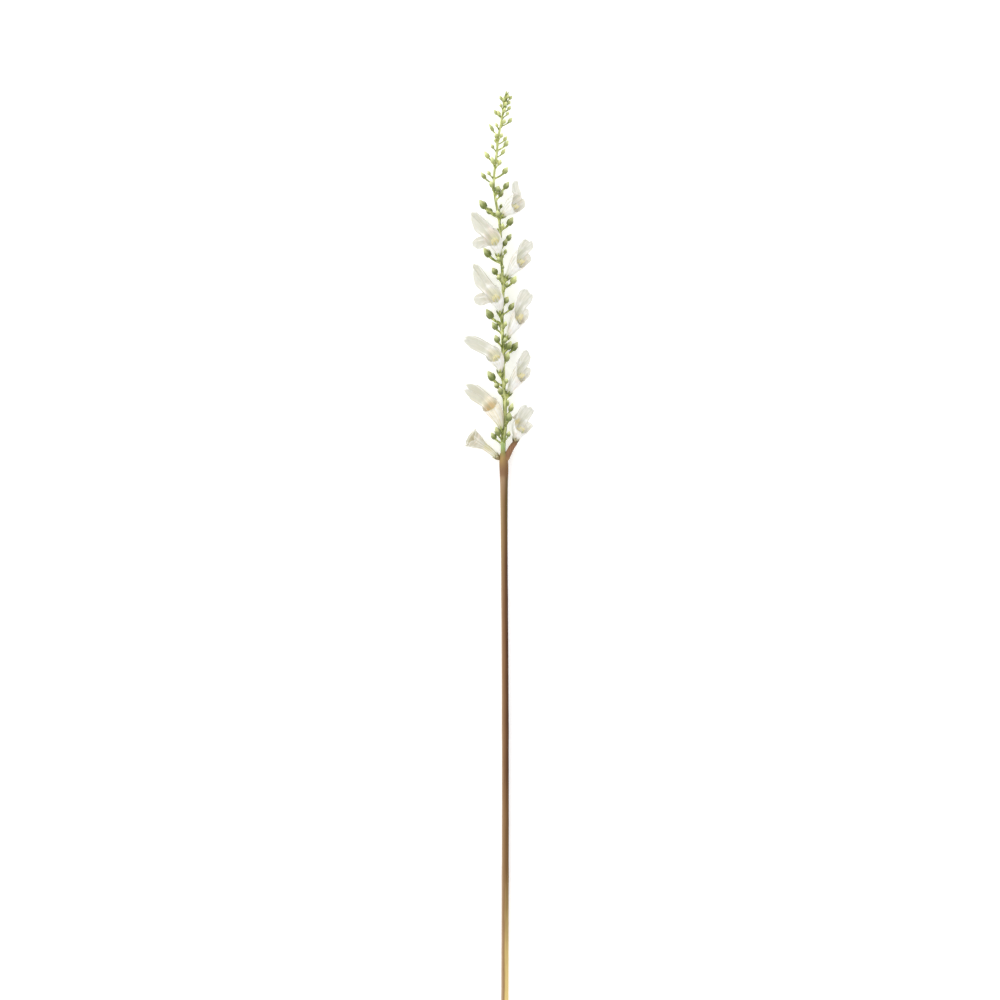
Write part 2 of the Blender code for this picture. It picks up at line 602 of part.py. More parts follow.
def stem(surface):
    """The bare stem with its collar, its side branch and the socket of the green axis."""
    body = sweep("stem", [knot[:3] for knot in STEM], [knot[3] for knot in STEM], STEM_SIDES)
    pieces = []
    for name, (way, stalk_radii) in ON_STEM.items():
        pieces += flower_holder(name, FLOWERS[name], way, stalk_radii)
    union(body, pieces)
    foot = Vector(AXIS[0][:3])
    ahead = (Vector(AXIS[1][:3]) - foot).normalized()
    ends = (foot - ahead * GAP, foot + ahead * (SOCKET_DEPTH + CUTTER_EXCESS))
    socket = sweep("socket_cutter", ends, (AXIS[0][3] + GAP,) * 2, AXIS_SIDES)
    cut = body.modifiers.new("socket", "BOOLEAN")
    cut.operation = "DIFFERENCE"
    cut.object = socket
    apply(body, cut)
    bpy.data.objects.remove(socket, do_unlink=True)
    finish(body, surface)


def build():
    """Make the whole spike."""
    remove_everything()
    brown = material("stem_brown", (0.25, 0.14, 0.06), 0.55)
    green = material("spike_green", (0.33, 0.42, 0.11), 0.55)
    cream = material("petal_cream", (0.88, 0.86, 0.78), 0.6)
    stem(brown)
    spike_axis(green)
    for name, flower in FLOWERS.items():
        corolla(name, flower, cream)


build()
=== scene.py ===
import math
import random

import bmesh
import bpy
from mathutils import Matrix, Vector, noise


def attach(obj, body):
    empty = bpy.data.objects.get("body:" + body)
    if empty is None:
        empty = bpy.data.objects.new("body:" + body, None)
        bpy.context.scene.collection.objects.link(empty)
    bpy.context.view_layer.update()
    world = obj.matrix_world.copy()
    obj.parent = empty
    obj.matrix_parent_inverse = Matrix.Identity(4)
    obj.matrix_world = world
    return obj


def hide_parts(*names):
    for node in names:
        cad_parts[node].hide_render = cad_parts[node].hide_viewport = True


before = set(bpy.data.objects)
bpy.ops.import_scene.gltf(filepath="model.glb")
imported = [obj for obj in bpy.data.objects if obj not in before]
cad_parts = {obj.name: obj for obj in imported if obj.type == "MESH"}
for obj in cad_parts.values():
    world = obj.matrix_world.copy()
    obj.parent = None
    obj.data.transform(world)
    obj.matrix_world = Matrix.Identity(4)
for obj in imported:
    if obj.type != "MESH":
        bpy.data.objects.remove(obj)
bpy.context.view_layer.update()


# ---- The stem --------------------------------------------------------------------------------------
# The woody lower stalk of the cut spike: a rod of thin streaked bark round pale wood and a soft pith.
# It swells at the top to a collar, whose socket takes the green axis. The lower end is cut square.

MM = 0.001

# x, y, z of the rod's middle and its radius, from the cut end to the top of the collar, in millimetres
STEM = (
    (6.3, -470.0, 3.53, 3.65), (6.6, -360.0, 4.6, 3.6), (6.9, -240.0, 5.7, 3.5), (6.6, -115.0, 6.9, 3.5),
    (5.9, 0.0, 8.0, 3.4), (5.6, 45.0, 8.4, 3.6), (5.5, 78.0, 8.7, 3.95), (5.5, 88.0, 8.8, 4.45),
    (5.4, 94.5, 8.9, 5.0), (5.2, 100.0, 8.9, 4.6), (4.9, 107.0, 9.0, 3.6),
)
STEM_SIDES = 24
STEM_STEP = 9.0             # between the rings of the rod
CLOSEST_RING = STEM_STEP / 3        # the nearest that such a ring comes to the collar's rim
END_RINGS = (0.5, 1.6)      # rings close to the cut keep its edge crisp
RIM_RING = 0.7              # and one as close to the collar's rim
SOCKET_RADIUS = 3.05
SOCKET_DEPTH = 6.5
BARK_THICKNESS = 0.35
PITH_RADIUS = 1.3
PITH_HOLLOW = 0.35          # how far the dried pith has sunk
CUT_DEPTH = 0.6             # the faces of the cut lie within this of the rod's end
KNOT_HEIGHTS = (-318.0, -171.0, -38.0)      # faint swellings where leaves once stood
KNOT_SWELLING = 0.05
KNOT_SPREAD = 6.0
UNEVENNESS = 0.02           # of the radius, as a share of it
UNEVEN_SPAN = 35.0          # from one thicker stretch to the next, roughly
CLOSE = 0.01                # two points this near each other count as one
MEAN_RADIUS = 3.5
GROWTH_RINGS = 9000         # in the cut wood, as radians of a wave for each metre


def cubic(before, start, stop, after, share):
    """A smooth value between start and stop that heads from the value before to the one after."""
    rest = 1 - share
    value = start * (1 + 2 * share) * rest * rest + stop * share * share * (3 - 2 * share)
    return value + (stop - before) / 2 * share * rest * rest - (after - start) / 2 * share * share * rest


def station(table, height):
    """Centre and radius, in millimetres, of a rod at a height along Y."""
    index = 0
    while index < len(table) - 2 and table[index + 1][1] < height:
        index += 1
    share = (height - table[index][1]) / (table[index + 1][1] - table[index][1])
    share = min(max(share, 0), 1)
    knots = [table[min(max(index + step, 0), len(table) - 1)] for step in (-1, 0, 1, 2)]
    x = cubic(*[knot[0] for knot in knots], share)
    z = cubic(*[knot[2] for knot in knots], share)
    radius = knots[1][3] + (knots[2][3] - knots[1][3]) * share
    return Vector((x, height, z)), radius


def turn_selected(turn, centre):
    """Turn what is selected in edit mode, one axis of the scene at a time."""
    for axis, angle in zip("XYZ", turn.to_euler()):
        bpy.ops.transform.rotate(value=-angle, orient_axis=axis, center_override=centre)


def draw_rod(name, way, radii, sides):
    """A rod: a disc's face is drawn out from point to point, and each new end is turned and resized."""
    way = [Vector(point) * MM for point in way]
    heads = []
    for index in range(len(way)):
        ahead = way[min(index + 1, len(way) - 1)] - way[max(index - 1, 0)]
        heads.append(ahead.normalized())
    upright = heads[0].to_track_quat("Z", "Y").to_euler()
    bpy.ops.object.select_all(action="DESELECT")
    bpy.ops.mesh.primitive_circle_add(vertices=sides, radius=radii[0] * MM, fill_type="NGON",
                                      location=way[0], rotation=upright)
    rod = bpy.context.object
    rod.name = name
    bpy.ops.object.transform_apply(location=True, rotation=True, scale=True)
    bpy.ops.object.mode_set(mode="EDIT")
    bpy.ops.mesh.select_all(action="SELECT")
    for index in range(1, len(way)):
        step = way[index] - way[index - 1]
        bpy.ops.mesh.extrude_region_move(TRANSFORM_OT_translate={"value": step})
        turn_selected(heads[index - 1].rotation_difference(heads[index]), way[index])
        size = radii[index] / radii[index - 1]
        bpy.ops.transform.resize(value=(size, size, size), center_override=way[index])
    bpy.ops.object.mode_set(mode="OBJECT")
    return rod


def select_faces(mesh, test):
    """In edit mode, select only the faces whose middle passes the test."""
    shape = bmesh.from_edit_mesh(mesh)
    bpy.ops.mesh.select_all(action="DESELECT")
    for face in shape.faces:
        face.select_set(test(face.calc_center_median()))
    bmesh.update_edit_mesh(mesh)


def round_off(piece, levels):
    """Smooth a piece with a subdivision surface, and shade it smooth."""
    bpy.ops.object.select_all(action="DESELECT")
    piece.select_set(True)
    bpy.context.view_layer.objects.active = piece
    rounding = piece.modifiers.new("rounding", "SUBSURF")
    rounding.levels = rounding.render_levels = levels
    bpy.ops.object.modifier_apply(modifier=rounding.name)
    bpy.ops.object.shade_smooth()


def outward(piece):
    """Turn every face of a closed piece outward."""
    bpy.ops.object.select_all(action="DESELECT")
    piece.select_set(True)
    bpy.context.view_layer.objects.active = piece
    bpy.ops.object.mode_set(mode="EDIT")
    bpy.ops.mesh.select_all(action="SELECT")
    bpy.ops.mesh.normals_make_consistent(inside=False)
    bpy.ops.object.mode_set(mode="OBJECT")


def seat(piece, nodes, materials):
    """Give a finished piece its materials, and its place in the frame."""
    for material in materials:
        piece.data.materials.append(material)
    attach(piece, "root")
    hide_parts(*nodes)


class Field:
    """A value that varies over a surface. Sums with it become Math nodes of its material."""

    def __init__(self, socket):
        self.socket = socket

    def node(self, kind, settings, sockets, output=0):
        """Any node: its settings first, then the values or links of its sockets."""
        tree = self.socket.id_data
        made = tree.nodes.new(kind)
        for setting, value in settings.items():
            setattr(made, setting, value)
        for socket, value in sockets.items():
            if isinstance(value, Field):
                tree.links.new(value.socket, made.inputs[socket])
            else:
                made.inputs[socket].default_value = value
        return Field(made.outputs[output])

    def sum(self, operation, first, second):
        """One Math node."""
        return self.node("ShaderNodeMath", {"operation": operation}, {0: first, 1: second})

    def __add__(self, other):
        return self.sum("ADD", self, other)

    def __sub__(self, other):
        return self.sum("SUBTRACT", self, other)

    def __rsub__(self, other):
        return self.sum("SUBTRACT", other, self)

    def __mul__(self, other):
        return self.sum("MULTIPLY", self, other)

    def __truediv__(self, other):
        return self.sum("DIVIDE", self, other)

    def __pow__(self, other):
        return self.sum("POWER", self, other)

    __radd__ = __add__
    __rmul__ = __mul__


def colour(red, green, blue):
    """A colour as seen, from 0 to 255, as the shader wants it."""
    return tuple((value / 255) ** 2.2 for value in (red, green, blue)) + (1,)


def blend(share, low, high):
    """The colour between two others."""
    return share.node("ShaderNodeMix", {"data_type": "RGBA"}, {0: share, 6: low, 7: high}, 2)


def mask(value, low, high):
    """0 below the low value, 1 above the high one, and smooth between."""
    ends = {"Value": value, "From Min": low, "From Max": high}
    return value.node("ShaderNodeMapRange", {"interpolation_type": "SMOOTHSTEP"}, ends)


def ramp(value, low, high, start, stop):
    """A value that goes straight from start to stop as another goes from low to high."""
    ends = {"Value": value, "From Min": low, "From Max": high, "To Min": start, "To Max": stop}
    return value.node("ShaderNodeMapRange", {}, ends)


def grain(place, stretch, detail=3.0):
    """Noise round 0.5 with this many features a metre along each axis."""
    scaled = place.node("ShaderNodeVectorMath", {"operation": "MULTIPLY"}, {0: place, 1: stretch})
    sockets = {"Vector": scaled, "Scale": 1.0, "Detail": detail}
    return place.node("ShaderNodeTexNoise", {}, sockets)


def relief(height, depth, strength):
    """A Bump node's normal, for a height field whose features are this deep in metres."""
    return height.node("ShaderNodeBump", {}, {"Height": height, "Distance": depth, "Strength": strength})


def new_finish(name, roughness, **constants):
    """A Principled material with its even values set, and the Object coordinates of its surface."""
    finish = bpy.data.materials.new(name)
    finish.use_nodes = True
    tree = finish.node_tree
    shader = tree.nodes["Principled BSDF"]
    shader.inputs["Roughness"].default_value = roughness
    for socket, value in constants.items():
        shader.inputs[socket.replace("_", " ")].default_value = value
    place = Field(tree.nodes.new("ShaderNodeTexCoord").outputs["Object"])
    return finish, shader, place


def feed(shader, socket, field):
    """Lead a field into one of the shader's sockets."""
    field.socket.id_data.links.new(field.socket, shader.inputs[socket])


def parts(place):
    """The x, y and z of a place."""
    return [place.node("ShaderNodeSeparateXYZ", {}, {0: place}, axis) for axis in range(3)]


def trig(operation, angle):
    """Sine or cosine of an angle in radians."""
    return angle.node("ShaderNodeMath", {"operation": operation}, {0: angle})


def bark_finish():
    """Bark, golden toward the cut end, with painted light across it: a painted highlight pales the left
    side and painted shade darkens the right side to dark brown.
    """
    finish, shader, place = new_finish("stem_bark", 0.6, Specular_IOR_Level=0.15)
    x, y, _ = parts(place)
    side = (x - ramp(y, -0.12, 0.0, 6.6 * MM, 5.8 * MM)) / (MEAN_RADIUS * MM)
    streaks = grain(place, (1100, 30, 1100))
    blotches = grain(place, (160, 22, 160))
    fibres = grain(place, (4200, 120, 4200), 1.0)
    # Streaks of the bark, darkened toward the right side as painted shade
    streaks_and_painted_shade = streaks * 0.8 + ramp(side, -0.8, 0.9, 0.45, -0.3)
    bark = blend(streaks_and_painted_shade, colour(64, 36, 18), colour(134, 98, 66))
    olive = mask(side + blotches, 0.3, 1.1) * mask(y, -0.01, 0.05)
    bark = blend(olive * 0.7, bark, colour(96, 80, 42))
    lower = mask(streaks * 0.04 - y, 0.2, 0.32)
    # Toward the cut end a warmer brown, also darkened toward the right side as painted shade
    warm_streaks_and_painted_shade = streaks * 0.8 + ramp(side, -0.6, 0.9, 0.25, -0.1)
    bark = blend(lower * 0.85, bark, blend(warm_streaks_and_painted_shade, colour(92, 66, 38), colour(148, 116, 76)))
    # A pale band just left of the middle of the stem, a painted highlight
    beside = side + 0.25
    bark = blend(mask(beside * beside, 0.3, 0.0) * 0.2, bark, colour(166, 130, 100))
    golden = mask(streaks * 0.05 + side * 0.01 - y, 0.33, 0.475)
    sunny = mask(side + (streaks - 0.5) * 0.6, -0.35, 0.1)
    bark = blend(golden, bark, blend(sunny, colour(152, 120, 78), colour(220, 195, 128)))
    # The pale left edge is a painted highlight on the side that faces the light
    painted_lit_side = blend(streaks, colour(150, 124, 96), colour(198, 174, 146))
    bark = blend(mask(side + (streaks - 0.5) * 0.8, -0.3, -1.1), bark, painted_lit_side)
    tawny = mask(y, -0.05, 0.02) * mask(side, 0.5, -0.6)
    bark = blend(tawny * 0.5, bark, colour(148, 126, 84))
    # Below the collar a tan band, darker toward the right side as painted shade
    tan = mask(y, 0.055, 0.085)
    tan_with_painted_shade = blend(mask(side + streaks * 0.4, 0.0, 0.9), colour(156, 128, 100), colour(104, 84, 56))
    bark = blend(tan * 0.85, bark, tan_with_painted_shade)
    ring = mask(y + streaks * 0.004, 0.082, 0.088) * mask(y + streaks * 0.004, 0.106, 0.099)
    bark = blend(ring * 0.75, bark, colour(122, 90, 64))
    collar = mask(y + streaks * 0.008, 0.092, 0.108)
    # The collar in ochre, a little darker toward the right side as painted shade
    ochre = blend(ramp(side, -0.6, 0.9, 0.0, 1.0), colour(164, 136, 86), colour(138, 108, 76))
    bark = blend(collar * 0.9, bark, ochre)
    bark = blend(mask(y + streaks * 0.006, 0.1045, 0.1105) * 0.7, bark, colour(140, 140, 84))
    bark = blend(mask(fibres, 0.62, 0.8) * 0.35, bark, colour(60, 40, 26))
    feed(shader, "Base Color", bark)
    feed(shader, "Roughness", ramp(streaks, 0.3, 0.7, 0.5, 0.7))
    feed(shader, "Normal", relief(streaks * 0.7 + fibres * 0.3, 0.25 * MM, 0.7))
    return finish


def cut_wood_finish():
    """The sawn end: rings of pale wood with darker pores round a brown pith."""
    finish, shader, place = new_finish("cut_wood", 0.8)
    x, _, z = parts(place)
    across = ((x - STEM[0][0] * MM) ** 2 + (z - STEM[0][2] * MM) ** 2) ** 0.5
    pores = grain(place, (3500, 3500, 3500), 2.0)
    rings = trig("SINE", across * GROWTH_RINGS) * 0.5 + pores
    wood = blend(mask(rings, 0.2, 1.0), colour(196, 172, 122), colour(226, 208, 164))
    pith = mask(across + pores * 0.4 * MM, 1.5 * MM, 1.2 * MM)
    wood = blend(pith, wood, colour(168, 132, 88))
    feed(shader, "Base Color", wood)
    feed(shader, "Normal", relief(pores, 0.15 * MM, 0.8))
    return finish


def make_stem():
    """The rod with its knots, its cut end and its socket."""
    heights = [STEM[0][1]] + [STEM[0][1] + ring for ring in END_RINGS]
    while heights[-1] + STEM_STEP < STEM[-1][1] - CLOSEST_RING:
        heights.append(heights[-1] + STEM_STEP)
    heights += [STEM[-1][1] - RIM_RING, STEM[-1][1]]
    way, radii = [], []
    for height in heights:
        centre, radius = station(STEM, height)
        knot = sum(math.exp(-((height - low) / KNOT_SPREAD) ** 2) for low in KNOT_HEIGHTS)
        unevenness = UNEVENNESS * noise.noise(Vector((0, height / UNEVEN_SPAN, 0)))
        way.append(centre)
        radii.append(radius * (1 + unevenness + KNOT_SWELLING * knot))
    rod = draw_rod("woody_stem", way, radii, STEM_SIDES)
    ahead = (way[-1] - way[-3]).normalized() * MM
    bpy.ops.object.mode_set(mode="EDIT")
    bpy.ops.mesh.inset(thickness=(STEM[-1][3] - SOCKET_RADIUS) * MM)
    bpy.ops.mesh.extrude_region_move(TRANSFORM_OT_translate={"value": -ahead})
    bpy.ops.mesh.extrude_region_move(TRANSFORM_OT_translate={"value": ahead * (1 - SOCKET_DEPTH)})
    select_faces(rod.data, lambda middle: middle.y < (STEM[0][1] + CLOSE) * MM)
    bpy.ops.mesh.inset(thickness=BARK_THICKNESS * MM)
    bpy.ops.mesh.inset(thickness=BARK_THICKNESS * MM)
    bpy.ops.mesh.inset(thickness=(STEM[0][3] - 2 * BARK_THICKNESS - PITH_RADIUS) * MM)
    bpy.ops.transform.translate(value=(0, PITH_HOLLOW * MM, 0))
    bpy.ops.object.mode_set(mode="OBJECT")
    outward(rod)
    round_off(rod, 1)
    seat(rod, ["stem"], [bark_finish(), cut_wood_finish()])
    for face in rod.data.polygons:
        middle = face.center
        across = math.hypot(middle.x - STEM[0][0] * MM, middle.z - STEM[0][2] * MM)
        is_cut = middle.y < (STEM[0][1] + CUT_DEPTH) * MM and across < (STEM[0][3] - BARK_THICKNESS) * MM
        face.material_index = 1 if is_cut else 0


make_stem()


# ---- The green axis --------------------------------------------------------------------------------
# The live upper stalk, which carries the flowers and buds. It stands in the collar's socket, has low
# ribs, bends a little from bud to bud, and runs out in a cluster of tiny leaves round the growing tip.

# x, y, z of its middle and its radius, from the socket to the tip
AXIS = (
    (4.8, 100.5, 8.95, 2.7), (4.6, 112.0, 9.0, 2.7), (5.0, 121.0, 9.1, 2.5), (6.7, 136.0, 9.3, 2.2),
    (6.4, 153.0, 9.4, 2.1), (5.1, 175.0, 9.5, 2.0), (4.6, 200.0, 9.5, 1.9), (4.0, 225.0, 9.5, 1.8),
    (3.5, 246.0, 9.5, 1.75), (4.6, 269.0, 9.5, 1.65), (3.7, 290.0, 9.5, 1.55), (2.5, 310.0, 9.5, 1.5),
    (1.6, 332.0, 9.4, 1.55), (-0.9, 350.0, 9.3, 1.45), (-3.8, 365.0, 9.2, 1.35), (-4.9, 375.0, 9.1, 1.3),
    (-3.5, 394.0, 9.0, 1.3), (-1.5, 409.0, 8.9, 1.25), (-0.7, 421.0, 8.8, 1.25), (1.9, 433.0, 8.7, 1.2),
    (3.9, 445.0, 8.7, 1.15), (6.0, 457.0, 8.7, 1.15), (7.0, 461.0, 8.7, 1.45), (7.6, 464.5, 8.7, 1.5),
    (8.6, 470.0, 8.7, 0.1),
)
AXIS_SIDES = 16
AXIS_STEP = 5.5
RIB_EVERY = 4               # sides from one rib to the next
RIBS_END = AXIS[-4][1]
GROOVE_DEPTH = 0.16


def green_finish(name, light, dark, foot=None):
    """Live green rind with long pale streaks, a little velvety."""
    finish, shader, place = new_finish(name, 0.55, Sheen_Weight=0.1, Specular_IOR_Level=0.3)
    _, y, _ = parts(place)
    streaks = grain(place, (1300, 60, 1300))
    blotches = grain(place, (260, 120, 260))
    rind = blend(mask(streaks * 0.6 + blotches * 0.4, 0.45, 0.57), dark, light)
    if foot:
        rind = blend(mask(y + streaks * 0.01, 0.135, 0.115) * 0.75, rind, foot)
        rind = blend(mask(y + streaks * 0.006, 0.1165, 0.1085) * 0.8, rind, colour(158, 146, 88))
        rind = blend(mask(y, 0.33, 0.46) * 0.6, rind, colour(214, 220, 142))
    feed(shader, "Base Color", rind)
    feed(shader, "Roughness", ramp(blotches, 0.3, 0.7, 0.45, 0.65))
    feed(shader, "Normal", relief(streaks, 0.12 * MM, 0.6))
    return finish


def make_axis():
    """The ribbed rod of the axis."""
    count = round((AXIS[-1][1] - AXIS[0][1]) / AXIS_STEP)
    heights = [AXIS[0][1] + (AXIS[-1][1] - AXIS[0][1]) * step / count for step in range(count + 1)]
    stations = [station(AXIS, height) for height in heights]
    way, radii = zip(*stations)
    rod = draw_rod("axis", way, radii, AXIS_SIDES)
    outward(rod)
    for vertex in rod.data.vertices:
        groove = (vertex.index % AXIS_SIDES) % RIB_EVERY == 0
        if groove and vertex.co.y < RIBS_END * MM:
            centre, radius = station(AXIS, vertex.co.y / MM)
            vertex.co = vertex.co.lerp(centre * MM, GROOVE_DEPTH / radius)
    round_off(rod, 1)
    rind = green_finish("axis_rind", colour(219, 223, 157), colour(119, 131, 61), colour(136, 166, 104))
    seat(rod, ["spike_axis"], [rind])


make_axis()


# ---- The buds --------------------------------------------------------------------------------------
# Closed flowers on thin curved stalks, all round the axis and smaller toward its tip. Each is an egg of
# folded petals held by five sepals. One bud is modelled, and copies of it go to every stalk's end.

# Buds of the front and the sides: height of the middle along Y, distance to the side of the axis (left
# is minus), length, width and, for a bud that a flower pushes aside, its rise above the axis
BUDS = (
    (124.0, -10.3, 8.5, 5.3), (126.0, 4.6, 7.4, 4.2), (128.5, -7.0, 11.4, 5.6), (143.0, 3.6, 10.6, 7.0),
    (152.5, 6.3, 10.6, 5.0), (169.0, -3.6, 9.5, 5.3), (174.5, -7.2, 6.9, 4.7), (179.0, 2.9, 6.4, 4.2),
    (184.0, -12.4, 12.4, 7.6), (203.0, 3.8, 11.6, 6.4, 3.0), (213.6, 12.0, 11.4, 6.4),
    (214.5, 6.2, 10.8, 6.6, 3.5), (221.0, -5.8, 9.5, 5.9), (219.5, 2.2, 6.9, 4.2),
    (234.0, -7.6, 9.5, 5.7), (236.0, 3.2, 6.4, 4.2), (246.0, -12.6, 12.4, 7.3), (253.5, 9.3, 10.1, 5.3),
    (260.0, 3.8, 8.5, 5.3, 2.0), (275.0, 3.7, 6.4, 3.8), (280.0, 11.0, 9.5, 6.1), (282.5, -3.9, 6.4, 4.9),
    (289.0, -7.8, 8.5, 6.1), (293.0, 0.8, 4.8, 3.2, 4.5), (300.5, -2.7, 6.4, 4.2),
    (307.5, -14.2, 12.0, 7.0), (317.5, 4.4, 9.0, 4.9, 3.0), (322.5, 8.4, 9.0, 5.1, 2.0),
    (334.0, 2.6, 5.4, 4.1), (338.5, 11.0, 10.4, 6.3), (346.0, -0.3, 8.1, 5.3, 5.0),
    (349.5, -8.6, 8.6, 6.2), (355.5, -13.8, 11.6, 7.2), (366.5, 6.8, 8.6, 4.6), (371.0, 4.0, 7.0, 6.2),
    (374.5, 12.9, 9.2, 5.5), (375.5, -2.4, 7.6, 4.1), (384.5, -10.8, 8.6, 4.3), (387.0, -5.6, 5.4, 3.6),
    (389.5, 10.9, 8.6, 5.3), (397.5, 4.2, 6.5, 4.1), (399.5, -3.3, 8.6, 4.1), (405.0, -9.8, 9.2, 4.6),
    (408.5, 6.4, 7.6, 3.6), (413.5, -4.9, 5.4, 3.4), (416.5, 8.9, 7.6, 4.6), (421.5, 7.5, 6.5, 3.6),
    (424.0, -2.2, 6.5, 3.6), (424.5, 3.0, 5.4, 3.6), (432.5, -9.0, 9.7, 3.5), (435.0, -4.2, 5.4, 3.1),
    (438.5, 2.9, 5.4, 3.6), (440.0, 8.7, 6.5, 3.8), (446.5, 5.0, 4.6, 3.1), (447.0, -4.0, 5.8, 3.4),
    (448.0, -7.3, 6.3, 3.4), (450.0, 1.2, 5.2, 3.4), (452.0, 5.6, 5.2, 3.4), (454.5, -3.2, 4.6, 3.1),
    (456.0, 1.4, 5.2, 3.4), (457.5, 4.4, 4.6, 3.1), (460.5, -1.6, 5.2, 3.1), (462.0, -4.9, 5.8, 3.1),
    (462.5, 5.0, 5.2, 3.1), (463.5, 2.2, 5.2, 3.1),
)
BUD_REACH = (11.5, 4.8)     # from the axis to a bud's middle, at the foot and at the tip of the spike
SIDE_BUD = 0.75             # past this share of the reach a bud stands beside the axis, not before it
SIDE_RISES = (1.5, -1.0, 3.0)       # and rises above it by one of these, in turn
BUD_CLIMB = 0.55            # how strongly a bud points up the spike rather than away from it
BUD_DROP = (0.5, 0.3)       # its stalk leaves the axis this far below it, in reaches and bud lengths
BUD_SAG = 0.12              # how far its stalk bows down, as a share of the stalk
BUD_STALK = 0.19            # radius of its stalk, as a share of the bud's width
THINNEST_STALK = 0.6
STALK_SIDES = 6
# Two points of a stalk's way, as shares of its root, of the middle of its bend and of the bud's foot
STALK_BENDS = ((0.55, 0.4, 0.05), (0.0, 0.75, 0.25))
STALK_FLARES = (1.5, 1, 1, 1.25)    # its radii at the root, at these points and at the bud's foot
BUD_FOOT = 0.46             # below a bud's middle, as a share of its length
STALK_END = 0.1             # how far the stalk runs on into the bud, in bud lengths
STALK_END_RADIUS = 0.3      # in bud widths
BUD_SEED = 11
# Buds of the underside follow one another up the axis, ever closer
UNDER_SEED = 7
UNDER_BUDS = 13
UNDER_FIRST, UNDER_LAST = 158.0, 440.0
UNDER_CROWDING = 0.9
UNDER_LENGTHS = (7.5, 4.5)  # of the lowest and the highest
UNDER_WIDTH = 0.62          # as a share of the length
UNDER_SPREAD = 50           # degrees to either side of straight down
UNDER_SWINGS = (0.3, 1.0)   # the least and the most of them that a bud turns aside
UNDER_REACH = (7.2, 5.0)
UNDER_DROP = (0.8, 0.25)
UNDER_JITTER = 2.0          # along the axis

# The model bud is 8 mm long and 5 mm wide, and stands on the scene's origin along Z
MODEL_LENGTH, MODEL_WIDTH = 8.0, 5.0
EGG_SIDES, EGG_RINGS = 12, 9
EGG_WIDTH = 0.94            # of the petals inside the sepals, as a share of the bud's
EGG_TAPERS = ((0.5, 0.95), (1.8, 0.86), (2.8, 0.76), (3.6, 0.6))     # above this height, narrower by this
SEPAL_ROWS = (0.62, 0.95, 1.0, 0.88, 0.62, 0.32, 0.05)      # half widths from its foot to its point
SEPAL_WIDTH = 2.7
SEPAL_REACH = 5.3           # up the bud from its foot
SEPAL_THICKNESS = 0.32
SEPAL_COLUMNS = 4
MIDRIB_RISE = 0.12
# How far before and below a bud's middle a sepal stands, in bud widths and lengths, until it clings
SEPAL_START = (0.62, 0.47)
SEPAL_CLEARANCE = 0.2
SEPALS = 5


def bud_places():
    """Root, middle, length and width of every bud."""
    places = []
    for number, (height, side, length, width, *pushed) in enumerate(BUDS):
        share = (height - BUDS[0][0]) / (AXIS[-1][1] - BUDS[0][0])
        reach = BUD_REACH[0] + (BUD_REACH[1] - BUD_REACH[0]) * share
        rise = math.sqrt(max(reach * reach - side * side, 0))
        if abs(side) > reach * SIDE_BUD:
            rise = SIDE_RISES[number % len(SIDE_RISES)]
        if pushed:
            rise = pushed[0]
        middle = station(AXIS, height)[0] + Vector((side, 0, rise))
        drop = BUD_DROP[0] * math.hypot(side, rise)
        root = station(AXIS, height - drop - BUD_DROP[1] * length)[0]
        places.append((root, middle, length, width))
    draw = random.Random(UNDER_SEED)
    for number in range(UNDER_BUDS):
        share = number / (UNDER_BUDS - 1)
        height = UNDER_FIRST + (UNDER_LAST - UNDER_FIRST) * share ** UNDER_CROWDING
        height += draw.uniform(-UNDER_JITTER, UNDER_JITTER)
        length = UNDER_LENGTHS[0] + (UNDER_LENGTHS[1] - UNDER_LENGTHS[0]) * share
        reach = UNDER_REACH[0] + (UNDER_REACH[1] - UNDER_REACH[0]) * share
        swing = math.radians(UNDER_SPREAD * (-1) ** number * draw.uniform(*UNDER_SWINGS))
        middle = station(AXIS, height)[0] + Vector((math.sin(swing), 0, -math.cos(swing))) * reach
        root = station(AXIS, height - UNDER_DROP[0] * reach - UNDER_DROP[1] * length)[0]
        places.append((root, middle, length, length * UNDER_WIDTH))
    return places


def select_points(mesh, test):
    """In edit mode, select only the points that pass the test."""
    shape = bmesh.from_edit_mesh(mesh)
    bpy.ops.mesh.select_all(action="DESELECT")
    for point in shape.verts:
        point.select_set(test(point.co))
    shape.select_flush_mode()
    bmesh.update_edit_mesh(mesh)


def model_egg():
    """The folded petals of the model bud: a ball drawn out and narrowed toward its point."""
    bpy.ops.object.select_all(action="DESELECT")
    bpy.ops.mesh.primitive_uv_sphere_add(segments=EGG_SIDES, ring_count=EGG_RINGS, radius=0.5 * MM)
    egg = bpy.context.object
    bpy.ops.object.mode_set(mode="EDIT")
    bpy.ops.mesh.select_all(action="SELECT")
    size = (MODEL_WIDTH * EGG_WIDTH, MODEL_WIDTH * EGG_WIDTH, MODEL_LENGTH)
    bpy.ops.transform.resize(value=size, center_override=(0, 0, 0))
    for height, narrower in EGG_TAPERS:
        select_points(egg.data, lambda point: point.z > height * MM)
        bpy.ops.transform.resize(value=(narrower, narrower, 1), center_override=(0, 0, 0))
    bpy.ops.object.mode_set(mode="OBJECT")
    return egg


